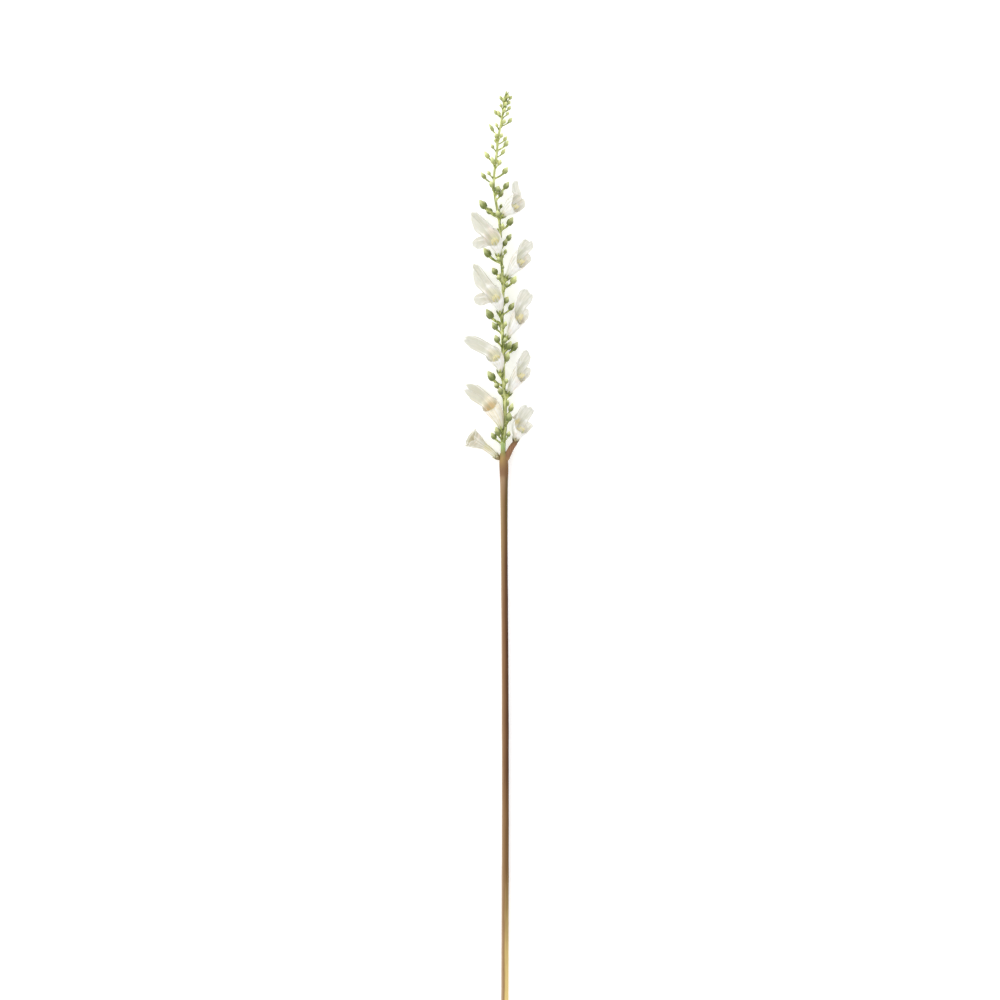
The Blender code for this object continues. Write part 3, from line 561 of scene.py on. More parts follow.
def model_sepal(length, width):
    """One sepal, upright on the origin: a small sheet with a lance's outline and a raised midrib."""
    rows = len(SEPAL_ROWS) - 1
    bpy.ops.object.select_all(action="DESELECT")
    bpy.ops.mesh.primitive_grid_add(x_subdivisions=SEPAL_COLUMNS, y_subdivisions=rows, size=1 * MM,
                                    location=(0, 0, 0.5 * MM), rotation=(math.pi / 2, 0, 0))
    sepal = bpy.context.object
    bpy.ops.object.transform_apply(location=True, rotation=True, scale=True)
    bpy.ops.object.mode_set(mode="EDIT")
    bpy.ops.mesh.select_all(action="SELECT")
    bpy.ops.transform.resize(value=(width, 1, length), center_override=(0, 0, 0))
    for row, narrower in enumerate(SEPAL_ROWS):
        height = length * row / rows
        select_points(sepal.data, lambda point: abs(point.z - height * MM) < CLOSE * MM)
        bpy.ops.transform.resize(value=(narrower, 1, 1), center_override=(0, 0, 0))
    select_points(sepal.data, lambda point: abs(point.x) < CLOSE * MM)
    bpy.ops.transform.translate(value=(0, -MIDRIB_RISE * MM, 0))
    bpy.ops.object.mode_set(mode="OBJECT")
    return sepal


def give_thickness(sheet, thickness):
    """Turn a small sheet into a closed blade."""
    blade = sheet.modifiers.new("blade", "SOLIDIFY")
    blade.thickness = thickness * MM
    blade.offset = 0
    bpy.ops.object.modifier_apply(modifier=blade.name)


def mark(piece, name, value):
    """Write one number for the whole piece into an attribute."""
    marks = piece.data.attributes.new(name, "FLOAT", "POINT")
    marks.data.foreach_set("value", [value] * len(piece.data.vertices))


def copy_to(model, place, tint=0.5):
    """A copy of a model with its own mesh, in its place, with its own number for how light it is."""
    copy = bpy.data.objects.new(model.name, model.data.copy())
    bpy.context.scene.collection.objects.link(copy)
    copy.data.transform(place)
    mark(copy, "tint", tint)
    return copy


def join(name, pieces):
    """Make one piece of several, and take the models that they came from away."""
    bpy.ops.object.select_all(action="DESELECT")
    for piece in pieces:
        piece.select_set(True)
    bpy.context.view_layer.objects.active = pieces[0]
    bpy.ops.object.join()
    pieces[0].name = name
    return pieces[0]


def note_height(piece, name, start, stop):
    """Write each point's share of the way from one height along Z to another into an attribute."""
    shares = piece.data.attributes.new(name, "FLOAT", "POINT")
    span = (stop - start) * MM
    heights = [min(max((point.co.z - start * MM) / span, 0), 1) for point in piece.data.vertices]
    shares.data.foreach_set("value", heights)


def model_bud():
    """The whole model bud: the egg and its five sepals, which cling to its lower half."""
    egg = model_egg()
    sepal = model_sepal(SEPAL_REACH, SEPAL_WIDTH)
    before, below = MODEL_WIDTH * SEPAL_START[0], MODEL_LENGTH * SEPAL_START[1]
    sepal.data.transform(Matrix.Translation((0, -before * MM, -below * MM)))
    cling = sepal.modifiers.new("cling", "SHRINKWRAP")
    cling.target = egg
    cling.offset = SEPAL_CLEARANCE * MM
    bpy.ops.object.modifier_apply(modifier=cling.name)
    give_thickness(sepal, SEPAL_THICKNESS)
    turns = [Matrix.Rotation(2 * math.pi * step / SEPALS, 4, "Z") for step in range(SEPALS)]
    sepals = [copy_to(sepal, turn) for turn in turns]
    bpy.data.objects.remove(sepal)
    round_off(egg, 1)
    mark(egg, "sepal", 0.0)
    for each in sepals:
        mark(each, "sepal", 1.0)
    bud = join("bud", [egg] + sepals)
    note_height(bud, "along", -MODEL_LENGTH / 2, MODEL_LENGTH / 2)
    bpy.ops.object.shade_smooth()
    bud.data.attributes.remove(bud.data.attributes["tint"])
    return bud


def bud_finish():
    """Buds: darker sepals below, a pale tip above, each bud a little lighter or darker."""
    finish, shader, place = new_finish("bud_rind", 0.45, Sheen_Weight=0.2, Subsurface_Weight=0.1,
                                       Subsurface_Scale=0.001)
    along = place.node("ShaderNodeAttribute", {"attribute_name": "along"}, {}, 2)
    sepal = place.node("ShaderNodeAttribute", {"attribute_name": "sepal"}, {}, 2)
    tint = place.node("ShaderNodeAttribute", {"attribute_name": "tint"}, {}, 2)
    mottle = grain(place, (700, 500, 700))
    _, y, _ = parts(place)
    rind = blend(mask(along + mottle * 0.4, 0.45, 1.15), colour(123, 136, 61), colour(238, 241, 178))
    rind = blend(sepal * ramp(along, 0.0, 0.7, 0.8, 0.45), rind, colour(109, 119, 52))
    rind = blend(mask(mottle, 0.5, 0.8) * 0.3, rind, colour(210, 218, 136))
    rind = blend(ramp(tint, 0.0, 1.0, 0.55, 0.0), rind, colour(97, 111, 48))
    rind = blend(ramp(tint, 0.5, 1.0, 0.0, 0.45), rind, colour(222, 228, 150))
    rind = blend(mask(y, 0.36, 0.47) * 0.5, rind, colour(220, 226, 152))
    feed(shader, "Base Color", rind)
    feed(shader, "Normal", relief(mottle, 0.1 * MM, 0.5))
    return finish


def place_along(foot, ahead, outward_hint, width, length):
    """The place of a model that stands on the origin along Z: its foot, its direction and its sizes."""
    across = ahead.cross(outward_hint).normalized()
    front = across.cross(ahead)
    turn = Matrix((across * width, front * width, ahead * length)).transposed().to_4x4()
    return Matrix.Translation(foot * MM) @ turn


def make_buds():
    """Every bud and its stalk."""
    model = model_bud()
    draw = random.Random(BUD_SEED)
    buds, stalks = [], []
    for root, middle, length, width in bud_places():
        heading = ((middle - root).normalized() + Vector((0, BUD_CLIMB, 0))).normalized()
        foot = middle - heading * length * BUD_FOOT
        bend = (root + foot) / 2 - Vector((0, BUD_SAG, 0)) * (foot - root).length
        way = [root * low + bend * half + foot * high for low, half, high in STALK_BENDS]
        way = [root, *way, foot, foot + heading * length * STALK_END]
        thin = max(THINNEST_STALK, width * BUD_STALK)
        radii = [thin * flare for flare in STALK_FLARES] + [width * STALK_END_RADIUS]
        stalks.append(draw_rod("bud_stalk", way, radii, STALK_SIDES))
        spin = Vector((draw.uniform(-1, 1), draw.uniform(-1, 1), draw.uniform(-1, 1)))
        place = place_along(middle, heading, spin, width / MODEL_WIDTH, length / MODEL_LENGTH)
        buds.append(copy_to(model, place, draw.random()))
    bpy.data.objects.remove(model)
    buds = join("buds", buds)
    seat(buds, ["spike_axis"], [bud_finish()])
    stalks = join("bud_stalks", stalks)
    outward(stalks)
    round_off(stalks, 1)
    rind = green_finish("bud_stalk_rind", colour(201, 206, 129), colour(113, 125, 55))
    seat(stalks, ["spike_axis"], [rind])


make_buds()


# ---- The corollas ----------------------------------------------------------------------------------
# Ten white flowers, each one thin petal tube with a long lip and four other lobes. A flat sheet is
# rolled into the tube, flared into its lobes and given a thickness. Each has its own bow and lobes.

LEFT, RIGHT = -1, 1
OUTER, INNER = "outer", "inner"
PETAL_THICKNESS = 0.55
PETAL_MARGIN = 0.5          # share of the thickness that is left at the edge of a lobe
BASE_RADIUS = 1.9
SWELL = 1.25                # the higher, the longer the tube's foot stays narrow
BELLY_RISE = 1.3            # the higher, the closer the belly is to the mouth
MOUTH_FLARE = 6             # degrees from the tube's line at which every lobe leaves the mouth
EDGE_RIPPLE = 0.008         # depth of the scallops, as a share of a lobe for each degree of its flutter
FINE_RIPPLE = 0.02          # depth of the smallest scallops, as a share of a lobe
RIPPLES, FINE_RIPPLES, FLUTTERS = 9, 31, 5      # waves round the whole mouth
FRILLS = ((19, 0.32), (37, 0.2))                # waves round the mouth, and how far the edge sways
FRILLED_LENGTH = 8.0        # a lobe this long sways in full, and a shorter one less
TUBE_CREASE, LOBE_CREASE = 0.25, 0.55           # depth of the crease down the middle of a lobe
TUBE_CREASE_POWER, LOBE_CREASE_POWER = 6, 8     # the higher, the narrower the crease
FLARE_SPEED = 0.7           # the lower, the sooner a lobe reaches its final angle
UNROLL = 20.0               # past the mouth, where the long lip has spread from a pipe into a strap
CLEFT = 1.8                 # how far the clefts between lobes stand past the mouth
LOBE_FULLNESS = 0.5
NOTCH_WIDTH = 0.5           # half the width of the notch in a lip's end, as a share of half the lip
TUBE_STRETCH, LIP_STRETCH = 1.04, 1.03          # how much longer a bowed line is than a straight one
LIP_EASE = 0.35             # share of the lip along which it still runs on in the tube's direction
UNEVEN_RISE = 0.25          # how far the petals rise and sink unevenly
UNEVEN_SIZE = 4.0           # from one rise to the next, roughly
UNEVEN_ROWS = 6             # rows from the foot up to where they are uneven in full
FLOOR_CLEARANCE = 0.05
TUBE_ROWS, LIP_ROWS = 13, 15

# The lobes in order round the tube, from the seam opposite the long lip: the angle of each one's
# middle from the lip, its width in degrees, its columns, and its place in a flower's lengths and flares
LOBES = ((211, 62, 12, 3), (274, 64, 15, 4), (0, 108, 18, 0), (86, 64, 15, 1), (149, 62, 12, 2))
LONG_LIP = 2                # its number in the list
COLUMNS = sum(lobe[2] for lobe in LOBES)

# Side; centre of the tube's foot, of its mouth and of its bent end; bow of its middle; radius of the
# mouth and swell of the belly; turn of the long lip from outward; the lip's spread, skew and
# bluntness; the depth of the notch in its end; how much shorter the tube is opposite the lip; lengths
# of the four other lobes past the mouth; final angles of the lip and the lobes; how much farther out the
# lower lobe turns on one side than on the other; flutter of the edges. Then the face with a patch of
# another colour, this colour, its strength, and the angle and height at which it is strongest.
FLOWERS = {
    "corolla_left_1": (
        LEFT, (-1.8, 103.4, 9.6), (-25.8, 120.8, 16.0), (-30.3, 123.4, 17.0), (1.0, 0.5, -1.6),
        8.2, -2.8, -90, 0.95, 0.0, 0.4, 0.0, 0.05, (5.5, 5.0, 5.0, 5.5), (42, 46, 48, 48, 46), 0, 6,
        OUTER, (206, 196, 120), 0.8, 200, 0.45),
    "corolla_left_2": (
        LEFT, (2.8, 130.5, 13.4), (-9.5, 156.0, 18.5), (-38.5, 174.8, 14.0), (2.2, 0.5, -1.2),
        8.2, 0.6, -92, 0.72, 0.0, 0.14, 0.08, 0.2, (3.0, 2.0, 2.0, 4.0), (6, 20, 16, 16, 16), 0, 10,
        INNER, (231, 198, 144), 0.9, 26, 0.72),
    "corolla_left_3": (
        LEFT, (1.6, 188.0, 15.0), (-7.5, 207.5, 21.0), (-39.0, 221.5, 15.5), (2.6, 0.5, -0.2),
        7.2, 1.2, -92, 0.72, 0.0, 0.15, 0.0, 0.45, (3.0, 2.0, 2.0, 5.0), (3, 24, 16, 20, 16), 0, 5,
        INNER, (236, 234, 206), 0.9, 0, 0.7),
    "corolla_left_4": (
        LEFT, (1.4, 247.5, 15.0), (-7.8, 268.5, 24.0), (-30.0, 300.0, 18.5), (2.4, 0.0, -1.0),
        7.6, 0.8, -95, 0.66, -0.14, 0.2, 0.0, 0.5, (17.0, 3.0, 3.0, 6.0), (6, 96, 40, 20, 12), 42, 5,
        INNER, (240, 238, 210), 0.9, 0, 0.7),
    "corolla_left_5": (
        LEFT, (0.0, 304.5, 15.0), (-8.8, 325.0, 24.0), (-33.0, 350.5, 18.5), (2.4, 0.0, -1.0),
        7.4, 1.0, -95, 0.64, -0.1, 0.14, 0.0, 0.5, (18.5, 3.0, 3.0, 6.0), (8, 90, 40, 20, 12), 40, 5,
        INNER, (236, 238, 204), 0.9, -20, 0.6),
    "corolla_right_1": (
        RIGHT, (17.0, 119.8, 10.8), (24.6, 137.0, 16.5), (39.2, 154.0, 14.0), (-0.8, 0.0, -0.6),
        8.6, 1.2, -125, 1.1, 0.25, 0.2, 0.18, 0.5, (9.0, 2.0, 2.5, 3.0), (2, 34, 14, 14, 12), 0, 6,
        INNER, (240, 220, 140), 1.0, -45, 0.75),
    "corolla_right_2": (
        RIGHT, (10.0, 166.2, 10.2), (26.5, 192.0, 16.5), (37.0, 205.5, 15.5), (-1.0, 0.5, -0.6),
        8.4, 0.4, -138, 1.6, 0.0, 0.35, 0.0, 0.5, (8.0, 3.0, 3.0, 3.5), (2, 34, 16, 14, 16), 0, 8,
        INNER, (244, 246, 226), 0.8, 0, 0.7),
    "corolla_right_3": (
        RIGHT, (8.4, 222.4, 10.2), (24.5, 252.0, 16.5), (37.5, 268.0, 15.5), (0.0, -1.0, -0.6),
        6.8, 1.4, -130, 1.7, 0.1, 0.25, 0.15, 0.5, (6.5, 3.0, 3.0, 5.0), (3, 60, 24, 20, 30), 0, 6,
        INNER, (226, 230, 208), 0.8, 0, 0.7),
    "corolla_right_4": (
        RIGHT, (8.4, 282.2, 10.6), (27.0, 305.5, 17.5), (39.0, 316.5, 17.0), (-0.8, 0.5, -0.6),
        8.8, 0.6, -140, 1.6, 0.4, 0.25, 0.16, 0.5, (7.0, 3.0, 2.5, 3.5), (2, 34, 16, 14, 12), 0, 6,
        INNER, (244, 246, 226), 0.85, 0, 0.75),
    "corolla_right_5": (
        RIGHT, (3.6, 344.2, 10.4), (21.5, 359.5, 17.5), (26.0, 382.0, 17.0), (-0.8, 0.0, -0.6),
        8.8, 1.2, -145, 1.1, 0.0, 0.45, 0.0, 0.5, (6.0, 4.0, 3.0, 3.5), (2, 34, 24, 14, 12), 0, 6,
        INNER, (250, 246, 236), 0.9, 0, 0.8),
}
PATCH_COLUMN = 17           # where the patch starts in a row

# Light and shaded petals, mixed at random, and the outside of the lip where painted shade darkens it
WHITE = ((240, 239, 235), (224, 221, 210), None)
# Two flowers in their own colours: the lowest left one greyer and darker, and the next one peach
FLOWER_PETAL_COLOURS = {
    "corolla_left_1": ((214, 208, 188), (192, 185, 160), (190, 184, 163)),
    "corolla_left_2": ((240, 231, 208), (226, 215, 186), None),
}
# The inside of the long lip, darkened as painted shade, most on the left flowers
INNER_LIP_PAINTED_SHADES = {LEFT: (186, 184, 171), RIGHT: (220, 218, 207)}
OUTER_FOOT, INNER_FOOT = (202, 204, 146), (212, 210, 142)


class Corolla:
    """The bowed line of one corolla and its wall."""

    def __init__(self, side, base, mouth, tip, bow, radius, belly, turn, spread, skew, bluntness, notch,
                 slant, lengths, flares, fan, flutter, *_):
        self.side, self.mouth_radius, self.belly, self.turn = side, radius, belly, math.radians(turn)
        self.spread, self.skew, self.bluntness = spread, skew, bluntness
        self.notch, self.slant, self.fan, self.flutter = notch, slant, fan, flutter
        self.base, self.mouth, self.tip = Vector(base), Vector(mouth), Vector(tip)
        self.control = (self.base + self.mouth) / 2 + Vector(bow) * 2
        self.length = (self.mouth - self.base).length * TUBE_STRETCH
        self.lip = (self.tip - self.mouth).length * LIP_STRETCH
        onward = (self.mouth - self.control).normalized()
        self.lip_control = self.mouth + onward * self.lip * LIP_EASE
        self.lengths = (self.lip, *lengths)
        self.flares = flares

    def arc(self, along):
        """The three control points that hold for a distance along the line, and the share of the way."""
        if along <= self.length:
            return self.base, self.control, self.mouth, along / self.length
        return self.mouth, self.lip_control, self.tip, min((along - self.length) / self.lip, 1)

    def centre(self, along):
        """Point of the line."""
        start, control, stop, share = self.arc(along)
        rest = 1 - share
        return start * rest * rest + control * 2 * rest * share + stop * share * share

    def ahead(self, along):
        """Direction of the line."""
        start, control, stop, share = self.arc(along)
        return ((control - start) * (1 - share) + (stop - control) * share).normalized()

    def across(self, along, angle):
        """Direction across the line, at an angle from the long lip."""
        ahead = self.ahead(along)
        upward = (Vector((0, 0, 1)) - ahead * ahead.z).normalized()
        outward = upward.cross(ahead) * -self.side
        return outward * math.cos(self.turn + angle) + upward * math.sin(self.turn + angle)

    def radius(self, along):
        """A narrow foot that swells to the belly and the mouth."""
        share = min(along / self.length, 1)
        swell = BASE_RADIUS + (self.mouth_radius - BASE_RADIUS) * math.sin(share * math.pi / 2) ** SWELL
        return swell + self.belly * math.sin(math.pi * share ** BELLY_RISE) ** 2

    def column(self, lobe, across):
        """Angle, length past the mouth and flare at a share, from -1 to 1, across a lobe."""
        middle, width, _, index = LOBES[lobe]
        beside = LOBES[(lobe + (1 if across > 0 else -1)) % len(LOBES)][3]
        bulge = 1 - across * across
        angle = math.radians(middle + across * width / 2)
        length = self.lengths[index]
        fullness = LOBE_FULLNESS
        if index == 0:
            fullness = self.bluntness
        length = CLEFT + (length - CLEFT) * bulge ** fullness
        if index == 0:
            length *= 1 + self.skew * across - self.notch * max(1 - abs(across) / NOTCH_WIDTH, 0)
        phase = self.base.y
        ripple = EDGE_RIPPLE * self.flutter * math.sin(RIPPLES * angle + phase)
        length *= 1 + ripple + FINE_RIPPLE * math.sin(FINE_RIPPLES * angle + phase)
        edge = (self.flares[index] + self.flares[beside]) / 2
        sway = self.flutter * math.sin(FLUTTERS * angle + phase)
        flare = edge + (self.flares[index] - edge) * bulge + sway
        if index == 1:
            flare += self.fan * across
        return angle, length, math.radians(flare)

    def wall(self, angle, along, radius):
        """Point of the petal at an angle from the long lip, which spreads out flat past the mouth."""
        angle = (angle + math.pi) % (2 * math.pi) - math.pi
        spread = min(max((along - self.length) / UNROLL, 0), 1)
        if abs(angle) > math.radians(LOBES[LONG_LIP][1] / 2 + 1):
            spread = 0
        depth = math.cos(angle) * (1 - spread) + spread
        aside = math.sin(angle) * (1 - spread) + angle * self.spread * spread
        offset = self.across(along, 0) * depth + self.across(along, math.pi / 2) * aside
        return self.centre(along) + offset * radius

    def point(self, lobe, across, row):
        """Point of the petal, row 0 to 1 in the tube and 1 to 2 in the lobes."""
        angle, length, flare = self.column(lobe, across)
        reach = self.length * (1 - self.slant * (1 - math.cos(angle)) / 2)
        along = reach * min(row, 1)
        radius = self.radius(along)
        crease = 1 - across * across
        radius -= TUBE_CREASE * crease ** TUBE_CREASE_POWER * math.sin(math.pi * min(row, 1)) ** 2
        steps = round(max(row - 1, 0) * LIP_ROWS)
        start = math.radians(MOUTH_FLARE)
        for step in range(steps):
            share = (step + 0.5) / LIP_ROWS
            slope = start + (flare - start) * share ** FLARE_SPEED
            along += math.cos(slope) * length / LIP_ROWS
            radius += math.sin(slope) * length / LIP_ROWS
        share = steps / LIP_ROWS
        frill = 0
        for (waves, sway), phase in zip(FRILLS, (self.base.y, self.base.x)):
            frill += sway * math.sin(waves * angle + phase)
        radius += share * share * min(length / FRILLED_LENGTH, 1) * frill
        radius -= LOBE_CREASE * share * crease ** LOBE_CREASE_POWER
        return self.wall(angle, along, radius)


def roll_sheet(name, flower):
    """The petals: a flat sheet whose every point goes to its place on the corolla."""
    bpy.ops.object.select_all(action="DESELECT")
    bpy.ops.mesh.primitive_grid_add(x_subdivisions=COLUMNS, y_subdivisions=TUBE_ROWS + LIP_ROWS, size=2)
    sheet = bpy.context.object
    sheet.name = name.replace("corolla", "petals")
    margin = sheet.vertex_groups.new(name="margin")
    places = []
    for lobe, (_, _, columns, _) in enumerate(LOBES):
        places += [(lobe, 2 * step / columns - 1) for step in range(columns)]
    for vertex in sheet.data.vertices:
        lobe, across = places[round((vertex.co.x + 1) / 2 * COLUMNS) % COLUMNS]
        row = round((vertex.co.y + 1) / 2 * (TUBE_ROWS + LIP_ROWS))
        share = row / TUBE_ROWS if row < TUBE_ROWS else 1 + (row - TUBE_ROWS) / LIP_ROWS
        spot = flower.point(lobe, across, share)
        unevenness = noise.noise(spot / UNEVEN_SIZE)
        spot += Vector((0, 0, UNEVEN_RISE)) * unevenness * min(row / UNEVEN_ROWS, 1)
        spot.z = max(spot.z, PETAL_THICKNESS / 2 + FLOOR_CLEARANCE)
        vertex.co = spot * MM
        margin.add([vertex.index], min(2 - share, 1), "REPLACE")
    return sheet


def thicken(sheet, side, finishes):
    """Merge the rolled sheet's seam and give it its two faces, the inner one in the second finish."""
    for finish in finishes:
        sheet.data.materials.append(finish)
    bpy.ops.object.mode_set(mode="EDIT")
    bpy.ops.mesh.select_all(action="SELECT")
    bpy.ops.mesh.remove_doubles(threshold=CLOSE * MM)
    if side == RIGHT:
        bpy.ops.mesh.flip_normals()
    bpy.ops.object.mode_set(mode="OBJECT")
    wall = sheet.modifiers.new("petal_wall", "SOLIDIFY")
    wall.thickness = PETAL_THICKNESS * MM
    wall.offset = 0
    wall.use_even_offset = True
    wall.vertex_group = "margin"
    wall.thickness_vertex_group = PETAL_MARGIN
    wall.material_offset = 1
    bpy.ops.object.modifier_apply(modifier=wall.name)
    round_off(sheet, 1)


def petal_finish(name, light, shade, tone, lip, patch):
    """Petal skin with folds and veins, painted shade and highlight along the folds, a painted highlight on
    the edges, its foot toned, and perhaps a lip darkened by painted shade or a coloured patch.
    """
    finish, shader, place = new_finish(name, 0.5, Sheen_Weight=0.2, Subsurface_Weight=0.25,
                                       Subsurface_Scale=0.002, Subsurface_Radius=(1.0, 0.9, 0.7))
    sheet = place.node("ShaderNodeUVMap", {"uv_map": "UVMap"}, {})
    around, along, _ = parts(sheet)
    turn = around * (2 * math.pi)
    sockets = {0: trig("COSINE", turn), 1: trig("SINE", turn), 2: along}
    ring = sheet.node("ShaderNodeCombineXYZ", {}, sockets)
    veins = grain(ring, (16, 16, 2.2), 4.0)
    fine_veins = grain(ring, (60, 60, 3.0), 1.0)
    clouds = grain(place, (220, 160, 220), 3.0)
    folds = grain(ring, (5, 5, 1.2), 2.0)
    blush = grain(place, (90, 60, 90), 1.0)
    petal = blend(mask(clouds, 0.35, 0.7), colour(*light), colour(*shade))
    petal = blend(mask(blush, 0.5, 0.62) * 0.6, petal, colour(240, 224, 210))
    foot = mask(along + clouds * 0.06, 0.26, 0.04)
    petal = blend(foot * 0.65, petal, colour(*tone))
    # The lip past the mouth darkened with painted shade
    if lip:
        petal = blend(mask(along + clouds * 0.08, 0.54, 0.70) * 0.8, petal, colour(*lip))
    if patch:
        throat, strength, angle, height = patch
        middle = math.radians(angle) + math.pi
        nearness = trig("COSINE", turn - middle) * 0.5 + 0.5
        above = (along - height / 2) * 4.5
        spot = mask(nearness - above * above + clouds * 0.4, 0.75, 1.3)
        petal = blend(spot * strength, petal, colour(*throat))
    # Grey-green painted shade along one side of the folds, and a white painted highlight along the other
    petal = blend(mask(folds, 0.5, 0.62) * 0.5, petal, colour(190, 193, 174))
    petal = blend(mask(folds, 0.46, 0.34) * 0.45, petal, colour(252, 252, 248))
    petal = blend(mask(veins, 0.54, 0.72) * 0.45, petal, colour(190, 189, 166))
    petal = blend(mask(fine_veins, 0.6, 0.8) * 0.3, petal, colour(184, 183, 158))
    # A grey band just inside the lobes' edges, and a white rim on the edges themselves, painted as a
    # highlight
    petal = blend(mask(along + clouds * 0.1, 0.93, 0.99) * 0.4, petal, colour(194, 196, 184))
    petal = blend(mask(along + clouds * 0.05, 0.985, 1.02) * 0.7, petal, colour(250, 250, 247))
    feed(shader, "Base Color", petal)
    feed(shader, "Roughness", ramp(clouds, 0.3, 0.7, 0.42, 0.6))
    feed(shader, "Normal", relief(folds * 0.6 + veins * 0.25 + fine_veins * 0.15, 1.2 * MM, 0.7))
    return finish


for name, row in FLOWERS.items():
    flower = Corolla(*row)
    petals = roll_sheet(name, flower)
    face, *patch = row[PATCH_COLUMN:]
    # Each flower's petal colours, with the outer lip's painted shade where it has one
    light, shade, outer_lip_painted_shade = FLOWER_PETAL_COLOURS.get(name, WHITE)
    outer = petal_finish(name + "_outer", light, shade, OUTER_FOOT, outer_lip_painted_shade,
                         patch if face == OUTER else None)
    inner = petal_finish(name + "_inner", light, shade, INNER_FOOT, INNER_LIP_PAINTED_SHADES[flower.side],
                         patch if face == INNER else None)
    thicken(petals, flower.side, (outer, inner))
    seat(petals, [name], ())


# ---- The stamens -----------------------------------------------------------------------------------
# Four in each flower, in two pairs: a white filament, rooted in the tube's wall opposite the long lip,
# and a yellow anther of two lobes beside its end. The inner pair reaches farther.

# Degrees from the line opposite the lip, and the share of the tube that the anther's middle reaches
STAMENS = ((-58, 0.66), (-22, 0.76), (22, 0.76), (58, 0.66))
STAMEN_ROOT = 0.27          # share of the tube at which a filament leaves the wall
STAMEN_BEND = 0.38
STAMEN_SIDES = 6
ANTHER = 0.1                # half its length, as a share of the tube's
FILAMENT_END = 0.8          # below the anther's middle, as a share of half its length
FILAMENT_SPREADS = (1.0, 0.62, 0.55, 0.52)      # share of the tube's radius, from the root on
FILAMENT_RADII = (0.4, 0.34, 0.3, 0.3)
ANTHER_SPREADS = (0.52, 0.51, 0.5, 0.48, 0.46)
ANTHER_RADII = (0.2, 0.5, 0.62, 0.5, 0.18)
ANTHER_LOBES = (-11, 11)    # degrees to each side of the filament


def inside_tube(flower, shares, angle, spreads):
    """Points inside a tube, at these shares of its length and of its radius."""
    points = []
    for share, spread in zip(shares, spreads):
        along = share * flower.length
        points.append(flower.centre(along) + flower.across(along, angle) * flower.radius(along) * spread)
    return points


def anther_finish():
    """Butter yellow pollen sacs with brown specks."""
    finish, shader, place = new_finish("anther_skin", 0.7)
    specks = grain(place, (2600, 2600, 2600), 2.0)
    clouds = grain(place, (900, 900, 900), 2.0)
    skin = blend(clouds, colour(226, 214, 150), colour(248, 242, 200))
    skin = blend(mask(specks, 0.58, 0.68) * 0.5, skin, colour(176, 134, 90))
    feed(shader, "Base Color", skin)
    feed(shader, "Normal", relief(specks, 0.1 * MM, 0.6))
    return finish


def filament_finish():
    """White, a little glassy, and greenish in places."""
    finish, shader, place = new_finish("filament_skin", 0.4, Subsurface_Weight=0.2, Subsurface_Scale=0.001)
    mottle = grain(place, (1200, 300, 1200))
    feed(shader, "Base Color", blend(mottle, colour(214, 218, 190), colour(248, 247, 238)))
    return finish


def make_stamens():
    """The forty filaments and their anthers."""
    filaments, anthers = [], []
    for row in FLOWERS.values():
        flower = Corolla(*row)
        for lean, reach in STAMENS:
            angle = math.radians(180 + lean)
            top = reach - FILAMENT_END * ANTHER
            shares = (STAMEN_ROOT, STAMEN_BEND, (STAMEN_BEND + top) / 2, top)
            way = inside_tube(flower, shares, angle, FILAMENT_SPREADS)
            filaments.append(draw_rod("filament", way, FILAMENT_RADII, STAMEN_SIDES))
            for aside in ANTHER_LOBES:
                shares = [reach + ANTHER * step / 2 for step in (-2, -1, 0, 1, 2)]
                way = inside_tube(flower, shares, angle + math.radians(aside), ANTHER_SPREADS)
                anthers.append(draw_rod("anther", way, ANTHER_RADII, STAMEN_SIDES))
    for name, pieces, finish in (("filaments", filaments, filament_finish()),
                                 ("anthers", anthers, anther_finish())):
        piece = join(name, pieces)
        outward(piece)
        round_off(piece, 1)
        seat(piece, list(FLOWERS), [finish])


make_stamens()


# ---- The flowers' stalks ---------------------------------------------------------------------------
# What carries each corolla: a stalk from the axis or the stem, a cup with five pointed sepals, and the
# pistil, which stands on the cup and runs up inside the tube. The lowest two grow from the brown stem.

GAP = 0.35                  # between a corolla and the green parts round its foot
CUP_DEPTHS = (3.6, 2.2)     # of the cup's underside and its widening, below the corolla's foot
CUP_CLEARANCE = 0.6
CUP_TAPER = 0.8
CUP_RADIUS = 3.35
CUP_RIM = 0.35
CUP_HOLLOW = 0.35
HOLDER_SIDES = 12
PISTIL_SIDES = 8
STALK_RADII = (1.4, 1.1)    # at its root and under the cup
STALK_DROP = 8.0            # a flower's stalk leaves the axis this far below the flower's foot
BRANCH = ((6.2, 98.5, 9.2), (8.6, 103.8, 9.5), (11.1, 109.0, 9.8), (14.0, 114.4, 10.2))
BRANCH_RADII = (3.2, 3.5, 3.2, 2.9, 2.7)
LEFT_STALK = ((4.0, 99.5, 9.0),)
CALYX_REACH = 4.9           # length of a sepal from its root below the corolla's foot
CALYX_WIDTH = 2.6
CALYX_ROOT = 1.0
CALYX_LEAN = 0.75           # distance of a sepal's point from the corolla
CALYX_TURN = 0.25           # of the first sepal from the long lip's line, in sepals
CALYX_BENDS = (0.3, 0.6)    # shares of a sepal's length at which it bends outward
CALYX_BEND = 0.22
SOLID_WALL = 0.8            # thickness of the corollas' walls in the solids
OVARY = ((-1.5, 0.9), (0.2, 1.0), (1.6, 0.95), (2.6, 0.6))     # distance from the foot, and radius
STYLE = ((0.24, 0.45), (0.5, 0.34), (0.74, 0.32), (0.78, 0.55), (0.81, 0.3))   # share of the tube


